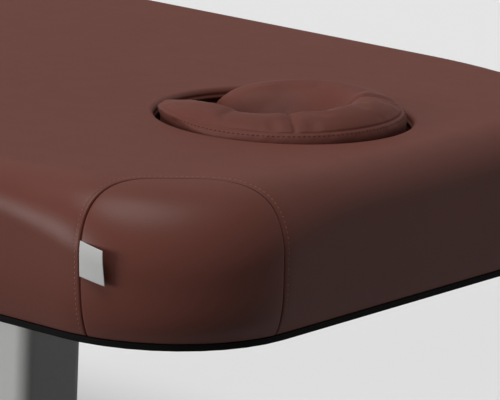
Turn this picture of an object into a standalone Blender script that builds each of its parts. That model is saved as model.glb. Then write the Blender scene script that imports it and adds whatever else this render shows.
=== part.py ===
"""Electric lift massage table: a thick upholstered mattress with a face opening, on two lifting columns.

Metres, +Z up, +X towards the head end. The origin is on the floor under the middle of the table.
The table is drawn at its lowest height, with the columns closed.
"""

import math

import bmesh
import bpy
from mathutils import Matrix, Vector

# Clearances
SEAT_GAP = 0.0003  # between pieces that rest on each other
RUNNING_GAP = 0.0004  # between pieces that slide or turn in each other
FOAM_GAP = 0.0006  # between the foam and its cover, whose facets differ a little

# Mattress
MATTRESS_LENGTH = 2.000
MATTRESS_WIDTH = 0.800
MATTRESS_THICKNESS = 0.150
MATTRESS_CORNER = 0.166  # plan radius of the four corners, at the widest height
EDGE_ROUNDING = 0.050  # top edge along the straight sides
CORNER_DOME = 0.085  # top edge at the four corners
DOME_BLEND = 0.120  # length of straight side over which the dome dies away
SIDE_DRAW_IN = 0.012  # how far the cover pulls the sides in at the bottom
COVER_THICKNESS = 0.0015
HEM_WIDTH = 0.035  # cover turned under the foam

# Face opening in the mattress
FACE_CENTRE_FROM_HEAD = 0.208
RECESS_RADIUS = 0.131
RECESS_LIP = 0.007
RECESS_DEPTH = 0.080
BREATHING_HOLE_RADIUS = 0.070

# Face cushion, a horseshoe that lies in the recess and opens towards the foot end
FACE_CUSHION_PLAY = 0.002  # to the wall of the recess
FACE_CUSHION_HOLE = 0.045  # radius of its hole at the bottom
FACE_CREST_RADIUS = 0.084
FACE_RIM_RISE = 0.008  # above the top of the mattress
FACE_CREST_RISE = 0.019
FACE_RIM_ROUNDING = 0.008  # where the side turns into the top
FACE_FUNNEL_DEPTH = 0.055  # from the crest down to the straight wall of the hole
FACE_ARM_SLOPE = math.radians(75)  # stretch of each arm that slopes down to its tip
FACE_ARM_END_RISE = 0.30  # share of the rise left at the end of the slope
FACE_TIP_ANGLE = math.radians(8)  # from the table's middle line to each tip
FACE_TIP_TAPER = math.radians(30)  # stretch of each arm that rounds off to its tip
FACE_TIP_RADIUS = 0.100  # from the middle of the ring to the middle of each tip
FACE_TIP_WIDTH = 0.50  # share of the full width left at the tip
FACE_TIP_HEIGHT = 0.72  # share of the full height left at the tip
FACE_BOARD_THICKNESS = 0.006
FACE_BOARD_MARGIN = 0.003  # cushion standing past its board

# Blank tag sewn into the seam of one corner panel
TAG_WIDTH = 0.040
TAG_HEIGHT = 0.036
TAG_THICKNESS = 0.0008
TAG_FROM_HEAD = 0.134
TAG_BELOW_TOP = 0.0715  # from the top of the mattress to the middle of the sewn edge
TAG_FLARE = math.radians(26)  # how far it stands off the cover
TAG_DROOP = math.radians(3)  # how far the free edge hangs down

# Board under the mattress
BOARD_THICKNESS = 0.007

# Top frame
FRAME_OVERHANG = 0.150  # mattress past each end of the rails
RAIL_WIDTH = 0.050
RAIL_HEIGHT = 0.030
RAIL_SPACING = 0.440
CROSS_MEMBER_WIDTH = 0.080
FRAME_WALL = 0.002
FRAME_TUBE_CORNER = 0.004

# Lifting columns
COLUMN_SPACING = 0.840
COLUMN_LENGTH = 0.140  # outer tube, along the table
COLUMN_WIDTH = 0.100
COLUMN_WALL = 0.004
COLUMN_CORNER = 0.018
GUIDE_SPACE = 0.006  # between the outer and the inner tube
LIFT_STROKE = 0.240
LIFT_END_CLEARANCE = 0.008  # left between slider and sleeve at full height
INNER_FOOT_CLEARANCE = 0.012  # under the inner tube at the lowest height
INNER_STANDOUT = 0.020  # inner tube above the collar at the lowest height
SLIDER_HEIGHT = 0.025
SLEEVE_HEIGHT = 0.045
COLLAR_HEIGHT = 0.012
PLATE_THICKNESS = 0.008
FOOT_PLATE_MARGIN = 0.030
TOP_PLATE_MARGIN = 0.028

# Lifting drive inside each column
MOTOR_RADIUS = 0.030
MOTOR_HEIGHT = 0.075
MOTOR_BOSS_RADIUS = 0.013
MOTOR_BOSS_HEIGHT = 0.008
SPINDLE_RADIUS = 0.008
SPINDLE_END_CLEARANCE = 0.004
SPINDLE_CHAMFER = 0.0015
NUT_RADIUS = 0.017
NUT_HEIGHT = 0.024
NUT_PLATE_THICKNESS = 0.008
NUT_PLATE_CLEARANCE = 0.005  # above the motor at the lowest height
NUT_PLATE_PLAY = 0.0016  # round the spindle

# Base
BASE_CLEARANCE = 0.025  # floor to the underside of the base tubes
BASE_TUBE_HEIGHT = 0.040
SPINE_WIDTH = 0.100
CROSS_FOOT_WIDTH = 0.080
CROSS_FOOT_LENGTH = 0.640
BASE_WALL = 0.003
BASE_TUBE_CORNER = 0.006
PLUG_CAP = 0.004
PLUG_DEPTH = 0.016
LEVELLER_INSET = 0.050
LEVELLER_RADIUS = 0.024
LEVELLER_RIM = 0.004  # height of the pad at its rim
LEVELLER_EDGE = 0.002  # rounding of the rim
LEVELLER_NECK_RADIUS = 0.010
LEVELLER_NECK_HEIGHT = 0.012  # floor to where the pad meets its stem
LEVELLER_STEM_RADIUS = 0.006
LEVELLER_STEM_REACH = 0.018  # stem inside the tube

# Foot control bars along both sides of the base
FOOT_BAR_RADIUS = 0.007
FOOT_BAR_LENGTH = 0.540
FOOT_BAR_REACH = 0.150  # from the pivot to the bar
FOOT_BAR_BEND = 0.030
FOOT_BAR_STUB = 0.042  # straight end past the bend, in its bracket
BRACKET_WIDTH = 0.020
BRACKET_NOSE = 0.014  # radius round the pivot
PIVOT_OFFSET = 0.020  # spine to pivot
SWITCH_BOX_SIZE = (0.036, 0.040, 0.034)
SWITCH_BORE_DEPTH = 0.006
SWITCH_CORNER = 0.003

# Control unit under the middle cross member
CONTROL_LENGTH = 0.220
CONTROL_WIDTH = 0.130
CONTROL_HEIGHT = 0.046
CONTROL_CORNER = 0.006
CONTROL_LID_THICKNESS = 0.003
CONTROL_LID_MARGIN = 0.012
INLET_WIDTH = 0.030
INLET_HEIGHT = 0.022
INLET_DEPTH = 0.020
INLET_WALL = 0.0025
INLET_FLANGE_MARGIN = 0.006
INLET_FLANGE = 0.003
INLET_CORNER = 0.003
INLET_PIN = (0.002, 0.0045, 0.014)  # width, height, length
INLET_PIN_SPACING = 0.007

# Smoothness of the facets
CORNER_STEPS = 3
MATTRESS_CORNER_STEPS = 5
ROUND_STEPS = 18
RECESS_STEPS = 28
BEND_STEPS = 5
SIDE_RINGS = (0, 0.25, 0.55)  # shares of the mattress side's height
EDGE_STEPS = 4
LIP_STEPS = 4
LIP_TURN = math.radians(75)  # how far the recess lip is drawn before it runs out through the top
FACE_STATIONS = 29
FACE_SECTION_STEPS = 4
OVERCUT = 0.010  # how far a cutter runs past the face it opens

# Heights, stacked from the floor
BASE_TOP = BASE_CLEARANCE + BASE_TUBE_HEIGHT
FOOT_PLATE_BOTTOM = BASE_TOP + SEAT_GAP
FOOT_PLATE_TOP = FOOT_PLATE_BOTTOM + PLATE_THICKNESS
OUTER_BOTTOM = FOOT_PLATE_TOP + SEAT_GAP
OUTER_HEIGHT = LIFT_STROKE + INNER_FOOT_CLEARANCE + SLIDER_HEIGHT + SLEEVE_HEIGHT + LIFT_END_CLEARANCE
OUTER_TOP = OUTER_BOTTOM + OUTER_HEIGHT
COLLAR_BOTTOM = OUTER_TOP + SEAT_GAP
COLLAR_TOP = COLLAR_BOTTOM + COLLAR_HEIGHT
INNER_BOTTOM = OUTER_BOTTOM + INNER_FOOT_CLEARANCE
INNER_TOP = COLLAR_TOP + INNER_STANDOUT
TOP_PLATE_BOTTOM = INNER_TOP + SEAT_GAP
FRAME_BOTTOM = TOP_PLATE_BOTTOM + PLATE_THICKNESS + SEAT_GAP
BOARD_BOTTOM = FRAME_BOTTOM + RAIL_HEIGHT + SEAT_GAP
MATTRESS_BOTTOM = BOARD_BOTTOM + BOARD_THICKNESS + SEAT_GAP
MATTRESS_TOP = MATTRESS_BOTTOM + MATTRESS_THICKNESS

# Plan positions that several pieces share
FACE_X = MATTRESS_LENGTH / 2 - FACE_CENTRE_FROM_HEAD
RAIL_LENGTH = MATTRESS_LENGTH - 2 * FRAME_OVERHANG
COLUMN_X = COLUMN_SPACING / 2
INNER_LENGTH = COLUMN_LENGTH - 2 * (COLUMN_WALL + GUIDE_SPACE)
INNER_WIDTH = COLUMN_WIDTH - 2 * (COLUMN_WALL + GUIDE_SPACE)
INNER_CORNER = COLUMN_CORNER - COLUMN_WALL - GUIDE_SPACE / 2
LEVELLER_Y = CROSS_FOOT_LENGTH / 2 - LEVELLER_INSET
BASE_MIDDLE = BASE_CLEARANCE + BASE_TUBE_HEIGHT / 2
PIVOT_Y = SPINE_WIDTH / 2 + PIVOT_OFFSET

# Tubes are drawn across local Z, and these turns lay local Z along the named axis
ALONG = {"X": (0, math.pi / 2, 0), "Y": (math.pi / 2, 0, 0)}
ENDS = {"head": 1, "foot": -1}
SIDES = {"near": -1, "far": 1}


def clear_scene():
    for obj in list(bpy.data.objects):
        bpy.data.objects.remove(obj, do_unlink=True)


def new_collection(name):
    collection = bpy.data.collections.new(name)
    bpy.context.scene.collection.children.link(collection)
    return collection


def new_material(name, colour, roughness, metallic=0.0):
    material = bpy.data.materials.new(name)
    material.use_nodes = True
    shader = material.node_tree.nodes["Principled BSDF"]
    shader.inputs["Base Color"].default_value = (*colour, 1)
    shader.inputs["Roughness"].default_value = roughness
    shader.inputs["Metallic"].default_value = metallic
    return material


def new_axis(name, location, parent=None):
    """An empty that carries the pieces of one moving body, on that body's joint axis."""
    axis = bpy.data.objects.new(name, None)
    axis.location = location
    parts.objects.link(axis)
    if parent:
        axis.parent = parent
        axis.location = Vector(location) - carried_at[parent.name]
    carried_at[name] = Vector(location)
    return axis


def place(obj, name, material, carrier, location=(0, 0, 0), turn=(0, 0, 0)):
    """Names a piece, gives it its finish and puts it at a world location under its carrier."""
    obj.name = name
    obj.data.name = name
    obj.data.materials.clear()
    obj.data.materials.append(material)
    obj.parent = carrier
    obj.location = Vector(location) - carried_at[carrier.name]
    obj.rotation_euler = turn
    parts.objects.link(obj)
    return obj


def helper(obj, name, location=(0, 0, 0), turn=(0, 0, 0)):
    """Puts away a shape that only cuts or joins another."""
    obj.name = name
    obj.location = location
    obj.rotation_euler = turn
    obj.hide_render = True
    obj.display_type = "WIRE"
    cutters.objects.link(obj)
    return obj


def boolean(obj, other, operation):
    modifier = obj.modifiers.new(other.name, "BOOLEAN")
    modifier.operation = operation
    modifier.object = other
    return obj


def smooth(obj, angle=math.radians(35)):
    obj.data.shade_smooth()
    obj.data.set_sharp_from_angle(angle=angle)
    return obj


def arc(centre, radius, start, end, steps):
    angles = [start + (end - start) * k / steps for k in range(steps + 1)]
    return [(centre[0] + radius * math.cos(a), centre[1] + radius * math.sin(a)) for a in angles]


def circle(radius, centre=(0, 0), steps=ROUND_STEPS):
    return arc(centre, radius, 0, 2 * math.pi, steps)[:-1]


def rounded_rectangle(length, width, radius, steps=CORNER_STEPS, centre=(0, 0)):
    x, y = length / 2 - radius, width / 2 - radius
    points = []
    for quarter, (sx, sy) in enumerate([(1, 1), (-1, 1), (-1, -1), (1, -1)]):
        start = quarter * math.pi / 2
        corner = (centre[0] + sx * x, centre[1] + sy * y)
        points += arc(corner, radius, start, start + math.pi / 2, steps)
    return points


def mesh_of(curve):
    """The curve's filled shape as a mesh object with its caps welded on."""
    drawn = bpy.data.objects.new("drawn", curve)
    bpy.context.scene.collection.objects.link(drawn)
    graph = bpy.context.evaluated_depsgraph_get()
    mesh = bpy.data.meshes.new_from_object(drawn.evaluated_get(graph))
    bpy.data.objects.remove(drawn, do_unlink=True)
    form = bmesh.new()
    form.from_mesh(mesh)
    bmesh.ops.remove_doubles(form, verts=form.verts, dist=1e-6)
    form.to_mesh(mesh)
    form.free()
    return bpy.data.objects.new("solid", mesh)


def prism(outlines, thickness):
    """A flat outline, with any holes, drawn out to a thickness about its middle plane."""
    curve = bpy.data.curves.new("outline", "CURVE")
    curve.dimensions = "2D"
    curve.fill_mode = "BOTH"
    curve.extrude = thickness / 2
    for points in outlines:
        spline = curve.splines.new("POLY")
        spline.points.add(len(points) - 1)
        for point, (x, y) in zip(spline.points, points):
            point.co = (x, y, 0, 1)
        spline.use_cyclic_u = True
    return mesh_of(curve)


def rod(points, radius):
    """A round bar along a path, with closed ends."""
    curve = bpy.data.curves.new("path", "CURVE")
    curve.dimensions = "3D"
    curve.bevel_depth = radius
    curve.bevel_resolution = 2
    curve.use_fill_caps = True
    spline = curve.splines.new("POLY")
    spline.points.add(len(points) - 1)
    for point, place_on_path in zip(spline.points, points):
        point.co = (*place_on_path, 1)
    return smooth(mesh_of(curve))


def turned(profile, steps=ROUND_STEPS, closed=False):
    """A profile of (radius, height) points, down its outer side, turned about Z."""
    mesh = bpy.data.meshes.new("profile")
    count = len(profile)
    edges = [(k, k + 1) for k in range(count - 1)] + [(count - 1, 0)] * closed
    mesh.from_pydata([(r, 0, z) for r, z in profile], edges, [])
    obj = bpy.data.objects.new("turned", mesh)
    screw = obj.modifiers.new("turn", "SCREW")
    screw.steps = screw.render_steps = steps
    screw.use_merge_vertices = True
    screw.merge_threshold = 1e-5
    screw.use_smooth_shade = True
    return obj


def block(size, bevel):
    form = bmesh.new()
    bmesh.ops.create_cube(form, size=1)
    bmesh.ops.scale(form, vec=size, verts=form.verts)
    mesh = bpy.data.meshes.new("block")
    form.to_mesh(mesh)
    form.free()
    obj = bpy.data.objects.new("block", mesh)
    edge = obj.modifiers.new("edges", "BEVEL")
    edge.width = bevel
    edge.segments = 2
    return obj


def box_tube(across, up, wall, corner, length):
    """A hollow tube of rounded rectangular section along Z, open at both ends."""
    section = rounded_rectangle(across, up, corner)
    ends = (-length / 2, length / 2)
    tube = loft([[(x, y, z) for x, y in section] for z in ends], close_ends=False)
    thickness = tube.modifiers.new("wall", "SOLIDIFY")
    thickness.thickness = wall
    thickness.offset = -1
    thickness.use_even_offset = True
    return tube


def rounded_path(corners, radius, steps=BEND_STEPS):
    """Points along straight runs in the XY plane, with each inner corner bent to a radius."""
    points = [Vector(corners[0])]
    for before, corner, after in zip(corners, corners[1:], corners[2:]):
        corner = Vector(corner)
        back = (Vector(before) - corner).normalized()
        on = (Vector(after) - corner).normalized()
        centre = corner + radius * (back + on)
        for k in range(steps + 1):
            turn = math.pi / 2 * k / steps
            points.append(centre - radius * (on * math.cos(turn) + back * math.sin(turn)))
    return points + [Vector(corners[-1])]


def loft(rings, close_ends=True):
    """A skin over rings of equal count. Each ring runs anticlockwise seen from the last ring's side."""
    form = bmesh.new()
    loops = [[form.verts.new(point) for point in ring] for ring in rings]
    count = len(loops[0])
    for low, high in zip(loops, loops[1:]):
        for k in range(count):
            form.faces.new((low[k], low[(k + 1) % count], high[(k + 1) % count], high[k]))
    if close_ends:
        form.faces.new(list(reversed(loops[0])))
        form.faces.new(loops[-1])
    mesh = bpy.data.meshes.new("loft")
    form.to_mesh(mesh)
    form.free()
    return bpy.data.objects.new("loft", mesh)


def build_base():
    """A spine between two cross feet, plugged at the ends and standing on four levelling feet."""
    spine_length = COLUMN_SPACING - CROSS_FOOT_WIDTH - 2 * SEAT_GAP
    spine = box_tube(BASE_TUBE_HEIGHT, SPINE_WIDTH, BASE_WALL, BASE_TUBE_CORNER, spine_length)
    place(spine, "base_spine", frame_paint, table, (0, 0, BASE_MIDDLE), ALONG["X"])
    for end, sx in ENDS.items():
        x = sx * COLUMN_X
        tube = (CROSS_FOOT_WIDTH, BASE_TUBE_HEIGHT, BASE_WALL, BASE_TUBE_CORNER)
        foot = box_tube(*tube, CROSS_FOOT_LENGTH)
        place(foot, f"cross_foot_{end}", frame_paint, table, (x, 0, BASE_MIDDLE), ALONG["Y"])
        for side, sy in SIDES.items():
            hole = turned(rod_profile(LEVELLER_STEM_RADIUS + RUNNING_GAP, 0, BASE_MIDDLE))
            hole = helper(hole, f"leveller_hole_{end}_{side}", (x, sy * LEVELLER_Y, 0))
            boolean(foot, hole, "DIFFERENCE")
            plug_y = sy * (CROSS_FOOT_LENGTH / 2 + SEAT_GAP)
            end_plug(
                f"cross_foot_plug_{end}_{side}",
                tube,
                (x, plug_y, BASE_MIDDLE),
                (-sy * math.pi / 2, 0, 0),
                table,
            )
            build_leveller(f"levelling_foot_{end}_{side}", (x, sy * LEVELLER_Y, 0))


def rod_profile(radius, bottom, top, chamfer=0.0):
    if not chamfer:
        return [(0, top), (radius, top), (radius, bottom), (0, bottom)]
    tip = radius - chamfer
    upper = [(0, top), (tip, top), (radius, top - chamfer)]
    lower = [(radius, bottom + chamfer), (tip, bottom), (0, bottom)]
    return upper + lower


def end_plug(name, tube, location, turn, carrier):
    """A moulded plug: a cap over the end of a tube and a stub inside it. Local +Z points outwards."""
    across, up, wall, corner = tube
    cap = prism([rounded_rectangle(across, up, corner)], PLUG_CAP)
    cap.data.transform(Matrix.Translation((0, 0, PLUG_CAP / 2)))
    stub_size = (across - 2 * (wall + SEAT_GAP), up - 2 * (wall + SEAT_GAP))
    overlap = PLUG_CAP / 2
    stub_corner = max(corner - wall, SEAT_GAP)
    stub = prism([rounded_rectangle(*stub_size, stub_corner)], PLUG_DEPTH + overlap)
    stub.data.transform(Matrix.Translation((0, 0, (overlap - PLUG_DEPTH) / 2)))
    helper(stub, f"{name}_stub", location, turn)
    place(cap, name, black_plastic, carrier, location, turn)
    boolean(cap, stub, "UNION")


def build_leveller(name, location):
    """A glide on a stem that screws into the cross foot, standing on the floor."""
    axis = new_axis(f"{name}_axis", location, table)
    stem_top = BASE_CLEARANCE + LEVELLER_STEM_REACH
    profile = [
        (0, stem_top),
        (LEVELLER_STEM_RADIUS, stem_top),
        (LEVELLER_STEM_RADIUS, LEVELLER_NECK_HEIGHT + LEVELLER_EDGE),
        (LEVELLER_NECK_RADIUS, LEVELLER_NECK_HEIGHT),
        (LEVELLER_RADIUS - LEVELLER_EDGE, LEVELLER_RIM + LEVELLER_EDGE),
        (LEVELLER_RADIUS, LEVELLER_RIM),
        (LEVELLER_RADIUS, LEVELLER_EDGE),
        (LEVELLER_RADIUS - LEVELLER_EDGE, 0),
        (0, 0),
    ]
    place(turned(profile), name, black_plastic, axis, location)


def ring_prism(length, width, corner, opening, opening_corner, height):
    outer = rounded_rectangle(length, width, corner)
    inner = rounded_rectangle(*opening, opening_corner)
    return prism([outer, inner], height)


def build_columns():
    """Two telescopic columns, each with its own motor, spindle and nut inside."""
    inner_hole = (INNER_LENGTH + 2 * RUNNING_GAP, INNER_WIDTH + 2 * RUNNING_GAP)
    bore = (COLUMN_LENGTH - 2 * COLUMN_WALL, COLUMN_WIDTH - 2 * COLUMN_WALL)
    bore_corner = COLUMN_CORNER - COLUMN_WALL
    hole_corner = INNER_CORNER + RUNNING_GAP
    sleeve_size = (bore[0] - 2 * SEAT_GAP, bore[1] - 2 * SEAT_GAP)
    slider_size = (bore[0] - 2 * RUNNING_GAP, bore[1] - 2 * RUNNING_GAP)
    slider_hole = (INNER_LENGTH + 2 * SEAT_GAP, INNER_WIDTH + 2 * SEAT_GAP)
    inner_bore = (INNER_LENGTH - 2 * COLUMN_WALL, INNER_WIDTH - 2 * COLUMN_WALL)
    inner_bore_corner = INNER_CORNER - COLUMN_WALL
    for end, sx in ENDS.items():
        x = sx * COLUMN_X
        foot_plate = rounded_rectangle(
            COLUMN_LENGTH + 2 * FOOT_PLATE_MARGIN, COLUMN_WIDTH + 2 * FOOT_PLATE_MARGIN, COLUMN_CORNER
        )
        foot_plate = prism([foot_plate], PLATE_THICKNESS)
        middle = FOOT_PLATE_BOTTOM + PLATE_THICKNESS / 2
        place(foot_plate, f"column_foot_plate_{end}", frame_paint, table, (x, 0, middle))

        outer = box_tube(COLUMN_LENGTH, COLUMN_WIDTH, COLUMN_WALL, COLUMN_CORNER, OUTER_HEIGHT)
        middle = OUTER_BOTTOM + OUTER_HEIGHT / 2
        place(smooth(outer), f"column_outer_{end}", column_paint, table, (x, 0, middle))

        collar_size = (COLUMN_LENGTH, COLUMN_WIDTH)
        collar = ring_prism(*collar_size, COLUMN_CORNER, inner_hole, hole_corner, COLLAR_HEIGHT)
        middle = COLLAR_BOTTOM + COLLAR_HEIGHT / 2
        place(smooth(collar), f"column_collar_{end}", black_plastic, table, (x, 0, middle))

        sleeve = ring_prism(*sleeve_size, bore_corner - SEAT_GAP, inner_hole, hole_corner, SLEEVE_HEIGHT)
        middle = OUTER_TOP - SLEEVE_HEIGHT / 2
        place(smooth(sleeve), f"guide_sleeve_{end}", pale_plastic, table, (x, 0, middle))

        slider_corners = (bore_corner - RUNNING_GAP, INNER_CORNER + SEAT_GAP)
        slider = ring_prism(*slider_size, slider_corners[0], slider_hole, slider_corners[1], SLIDER_HEIGHT)
        middle = INNER_BOTTOM + SLIDER_HEIGHT / 2
        place(smooth(slider), f"guide_slider_{end}", pale_plastic, lift, (x, 0, middle))

        inner_height = INNER_TOP - INNER_BOTTOM
        inner = box_tube(INNER_LENGTH, INNER_WIDTH, COLUMN_WALL, INNER_CORNER, inner_height)
        middle = INNER_BOTTOM + inner_height / 2
        place(smooth(inner), f"column_inner_{end}", bright_metal, lift, (x, 0, middle))

        top_plate = rounded_rectangle(
            INNER_LENGTH + 2 * TOP_PLATE_MARGIN, INNER_WIDTH + 2 * TOP_PLATE_MARGIN, COLUMN_CORNER
        )
        top_plate = prism([top_plate], PLATE_THICKNESS)
        middle = TOP_PLATE_BOTTOM + PLATE_THICKNESS / 2
        place(top_plate, f"column_top_plate_{end}", frame_paint, lift, (x, 0, middle))

        build_drive(end, x, inner_bore, inner_bore_corner)


def build_drive(end, x, inner_bore, inner_bore_corner):
    """A geared motor on the foot plate turns a spindle, and the nut on it lifts the inner tube."""
    motor_top = OUTER_BOTTOM + MOTOR_HEIGHT
    shoulder = motor_top - MOTOR_BOSS_HEIGHT
    step = MOTOR_BOSS_HEIGHT / 2
    motor = [
        (0, motor_top),
        (MOTOR_BOSS_RADIUS, motor_top),
        (MOTOR_BOSS_RADIUS, shoulder),
        (MOTOR_RADIUS - step, shoulder),
        (MOTOR_RADIUS, shoulder - step),
        (MOTOR_RADIUS, OUTER_BOTTOM),
        (0, OUTER_BOTTOM),
    ]
    place(turned(motor), f"lift_motor_{end}", black_plastic, table, (x, 0, 0))

    spindle_bottom = motor_top + SEAT_GAP
    axis = new_axis(f"spindle_axis_{end}", (x, 0, spindle_bottom), table)
    spindle_top = INNER_TOP - SPINDLE_END_CLEARANCE
    profile = rod_profile(SPINDLE_RADIUS, spindle_bottom, spindle_top, SPINDLE_CHAMFER)
    place(turned(profile), f"lift_spindle_{end}", bright_metal, axis, (x, 0, 0))

    plate_bottom = motor_top + NUT_PLATE_CLEARANCE
    plate = rounded_rectangle(
        inner_bore[0] - 2 * SEAT_GAP, inner_bore[1] - 2 * SEAT_GAP, inner_bore_corner
    )
    plate = prism([plate, circle(SPINDLE_RADIUS + NUT_PLATE_PLAY)], NUT_PLATE_THICKNESS)
    middle = plate_bottom + NUT_PLATE_THICKNESS / 2
    place(plate, f"nut_plate_{end}", bright_metal, lift, (x, 0, middle))

    nut_bottom = plate_bottom + NUT_PLATE_THICKNESS + SEAT_GAP
    nut_top = nut_bottom + NUT_HEIGHT
    bore = SPINDLE_RADIUS + RUNNING_GAP
    nut = [(NUT_RADIUS, nut_top), (NUT_RADIUS, nut_bottom), (bore, nut_bottom), (bore, nut_top)]
    place(turned(nut, closed=True), f"drive_nut_{end}", brass, lift, (x, 0, 0))


def build_top_frame():
    """Two long rails with three cross members between them, under the board."""
    middle = FRAME_BOTTOM + RAIL_HEIGHT / 2
    for side, sy in SIDES.items():
        y = sy * RAIL_SPACING / 2
        rail = box_tube(RAIL_HEIGHT, RAIL_WIDTH, FRAME_WALL, FRAME_TUBE_CORNER, RAIL_LENGTH)
        place(rail, f"frame_rail_{side}", frame_paint, lift, (0, y, middle), ALONG["X"])
        for end, sx in ENDS.items():
            end_plug(
                f"rail_plug_{side}_{end}",
                (RAIL_HEIGHT, RAIL_WIDTH, FRAME_WALL, FRAME_TUBE_CORNER),
                (sx * (RAIL_LENGTH / 2 + SEAT_GAP), y, middle),
                (0, sx * math.pi / 2, 0),
                lift,
            )
    cross_length = RAIL_SPACING - RAIL_WIDTH - 2 * SEAT_GAP
    for where, x in {"head": COLUMN_X, "middle": 0, "foot": -COLUMN_X}.items():
        member = box_tube(CROSS_MEMBER_WIDTH, RAIL_HEIGHT, FRAME_WALL, FRAME_TUBE_CORNER, cross_length)
        place(member, f"cross_member_{where}", frame_paint, lift, (x, 0, middle), ALONG["Y"])


def build_controls():
    """Foot bars pivoted on the spine, their switches, and the control unit with its mains inlet."""
    half = FOOT_BAR_LENGTH / 2
    stub_end = half + FOOT_BAR_BEND + FOOT_BAR_STUB
    bracket_x = half + FOOT_BAR_BEND + FOOT_BAR_STUB / 2
    for side, sy in SIDES.items():
        pivot = (0, sy * PIVOT_Y, BASE_MIDDLE)
        axis = new_axis(f"foot_bar_pivot_{side}", pivot, table)
        out = sy * FOOT_BAR_REACH
        head_end = [(stub_end, 0, 0), (half, 0, 0), (half, out, 0)]
        foot_end = [(-x, y, z) for x, y, z in reversed(head_end)]
        bar = rod(rounded_path(head_end + foot_end, FOOT_BAR_BEND), FOOT_BAR_RADIUS)
        place(bar, f"foot_bar_{side}", bright_metal, axis, pivot)

        back = -sy * (PIVOT_OFFSET - SEAT_GAP)
        half_round = arc((0, 0), BRACKET_NOSE, -math.pi / 2, math.pi / 2, 2 * CORNER_STEPS)
        nose = [(up, sy * outward) for outward, up in half_round]
        outline = [(BRACKET_NOSE, back), (-BRACKET_NOSE, back), *nose]
        bore = circle(FOOT_BAR_RADIUS + RUNNING_GAP)
        for end, sx in ENDS.items():
            bracket = prism([outline, bore], BRACKET_WIDTH)
            spot = (sx * bracket_x, pivot[1], pivot[2])
            place(bracket, f"pivot_bracket_{side}_{end}", frame_paint, table, spot, ALONG["X"])
        build_foot_switch(side, sy, stub_end)
    build_control_unit()


def build_foot_switch(side, sy, stub_end):
    """A switch housing on the spine that takes one end of the foot bar in its bore."""
    depth, width, height = SWITCH_BOX_SIZE
    x = stub_end - SWITCH_BORE_DEPTH + depth / 2 + RUNNING_GAP
    y = sy * (SPINE_WIDTH / 2 + SEAT_GAP + width / 2)
    box = block(SWITCH_BOX_SIZE, SWITCH_CORNER)
    box = place(box, f"foot_switch_{side}", black_plastic, table, (x, y, BASE_MIDDLE))
    bore = turned(rod_profile(FOOT_BAR_RADIUS + RUNNING_GAP, -OVERCUT, SWITCH_BORE_DEPTH))
    spot = (x - depth / 2, sy * PIVOT_Y, BASE_MIDDLE)
    boolean(box, helper(bore, f"foot_switch_bore_{side}", spot, ALONG["X"]), "DIFFERENCE")


def build_control_unit():
    lid_top = FRAME_BOTTOM - SEAT_GAP
    lid_size = (CONTROL_LENGTH + 2 * CONTROL_LID_MARGIN, CONTROL_WIDTH + 2 * CONTROL_LID_MARGIN)
    lid = prism([rounded_rectangle(*lid_size, CONTROL_CORNER)], CONTROL_LID_THICKNESS)
    place(lid, "control_lid", frame_paint, lift, (0, 0, lid_top - CONTROL_LID_THICKNESS / 2))

    box_top = lid_top - CONTROL_LID_THICKNESS - SEAT_GAP
    middle = box_top - CONTROL_HEIGHT / 2
    size = (CONTROL_LENGTH, CONTROL_WIDTH, CONTROL_HEIGHT)
    unit = place(block(size, CONTROL_CORNER), "control_box", black_plastic, lift, (0, 0, middle))

    face_x = -CONTROL_LENGTH / 2
    clear = 2 * SEAT_GAP
    pocket_size = (INLET_DEPTH + OVERCUT, INLET_WIDTH + clear, INLET_HEIGHT + clear)
    pocket_x = face_x + (INLET_DEPTH + SEAT_GAP - OVERCUT) / 2
    pocket = block(pocket_size, INLET_CORNER)
    boolean(unit, helper(pocket, "inlet_pocket", (pocket_x, 0, middle)), "DIFFERENCE")

    flange_size = (INLET_HEIGHT + 2 * INLET_FLANGE_MARGIN, INLET_WIDTH + 2 * INLET_FLANGE_MARGIN)
    flange = prism([rounded_rectangle(*flange_size, INLET_CORNER)], INLET_FLANGE)
    flange_x = face_x - SEAT_GAP - INLET_FLANGE / 2
    inlet = place(flange, "mains_inlet", black_plastic, lift, (flange_x, 0, middle), ALONG["X"])

    cup_depth = INLET_DEPTH - SEAT_GAP
    cup = block((cup_depth, INLET_WIDTH, INLET_HEIGHT), INLET_CORNER)
    cup_x = face_x - SEAT_GAP - INLET_FLANGE / 2 + cup_depth / 2
    boolean(inlet, helper(cup, "inlet_cup", (cup_x, 0, middle)), "UNION")
    well_size = (cup_depth + OVERCUT, INLET_WIDTH - 2 * INLET_WALL, INLET_HEIGHT - 2 * INLET_WALL)
    well = block(well_size, INLET_CORNER / 2)
    well_x = cup_x - INLET_WALL - OVERCUT / 2
    boolean(inlet, helper(well, "inlet_well", (well_x, 0, middle)), "DIFFERENCE")
    pin_width, pin_height, pin_length = INLET_PIN
    pin_x = cup_x + cup_depth / 2 - INLET_WALL / 2 - pin_length / 2
    for k in (-1, 0, 1):
        pin = block((pin_length, pin_width, pin_height), pin_width / 4)
        spot = (pin_x, k * INLET_PIN_SPACING, middle + (k == 0) * pin_height / 2)
        boolean(inlet, helper(pin, f"inlet_pin_{k + 1}", spot), "UNION")


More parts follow.
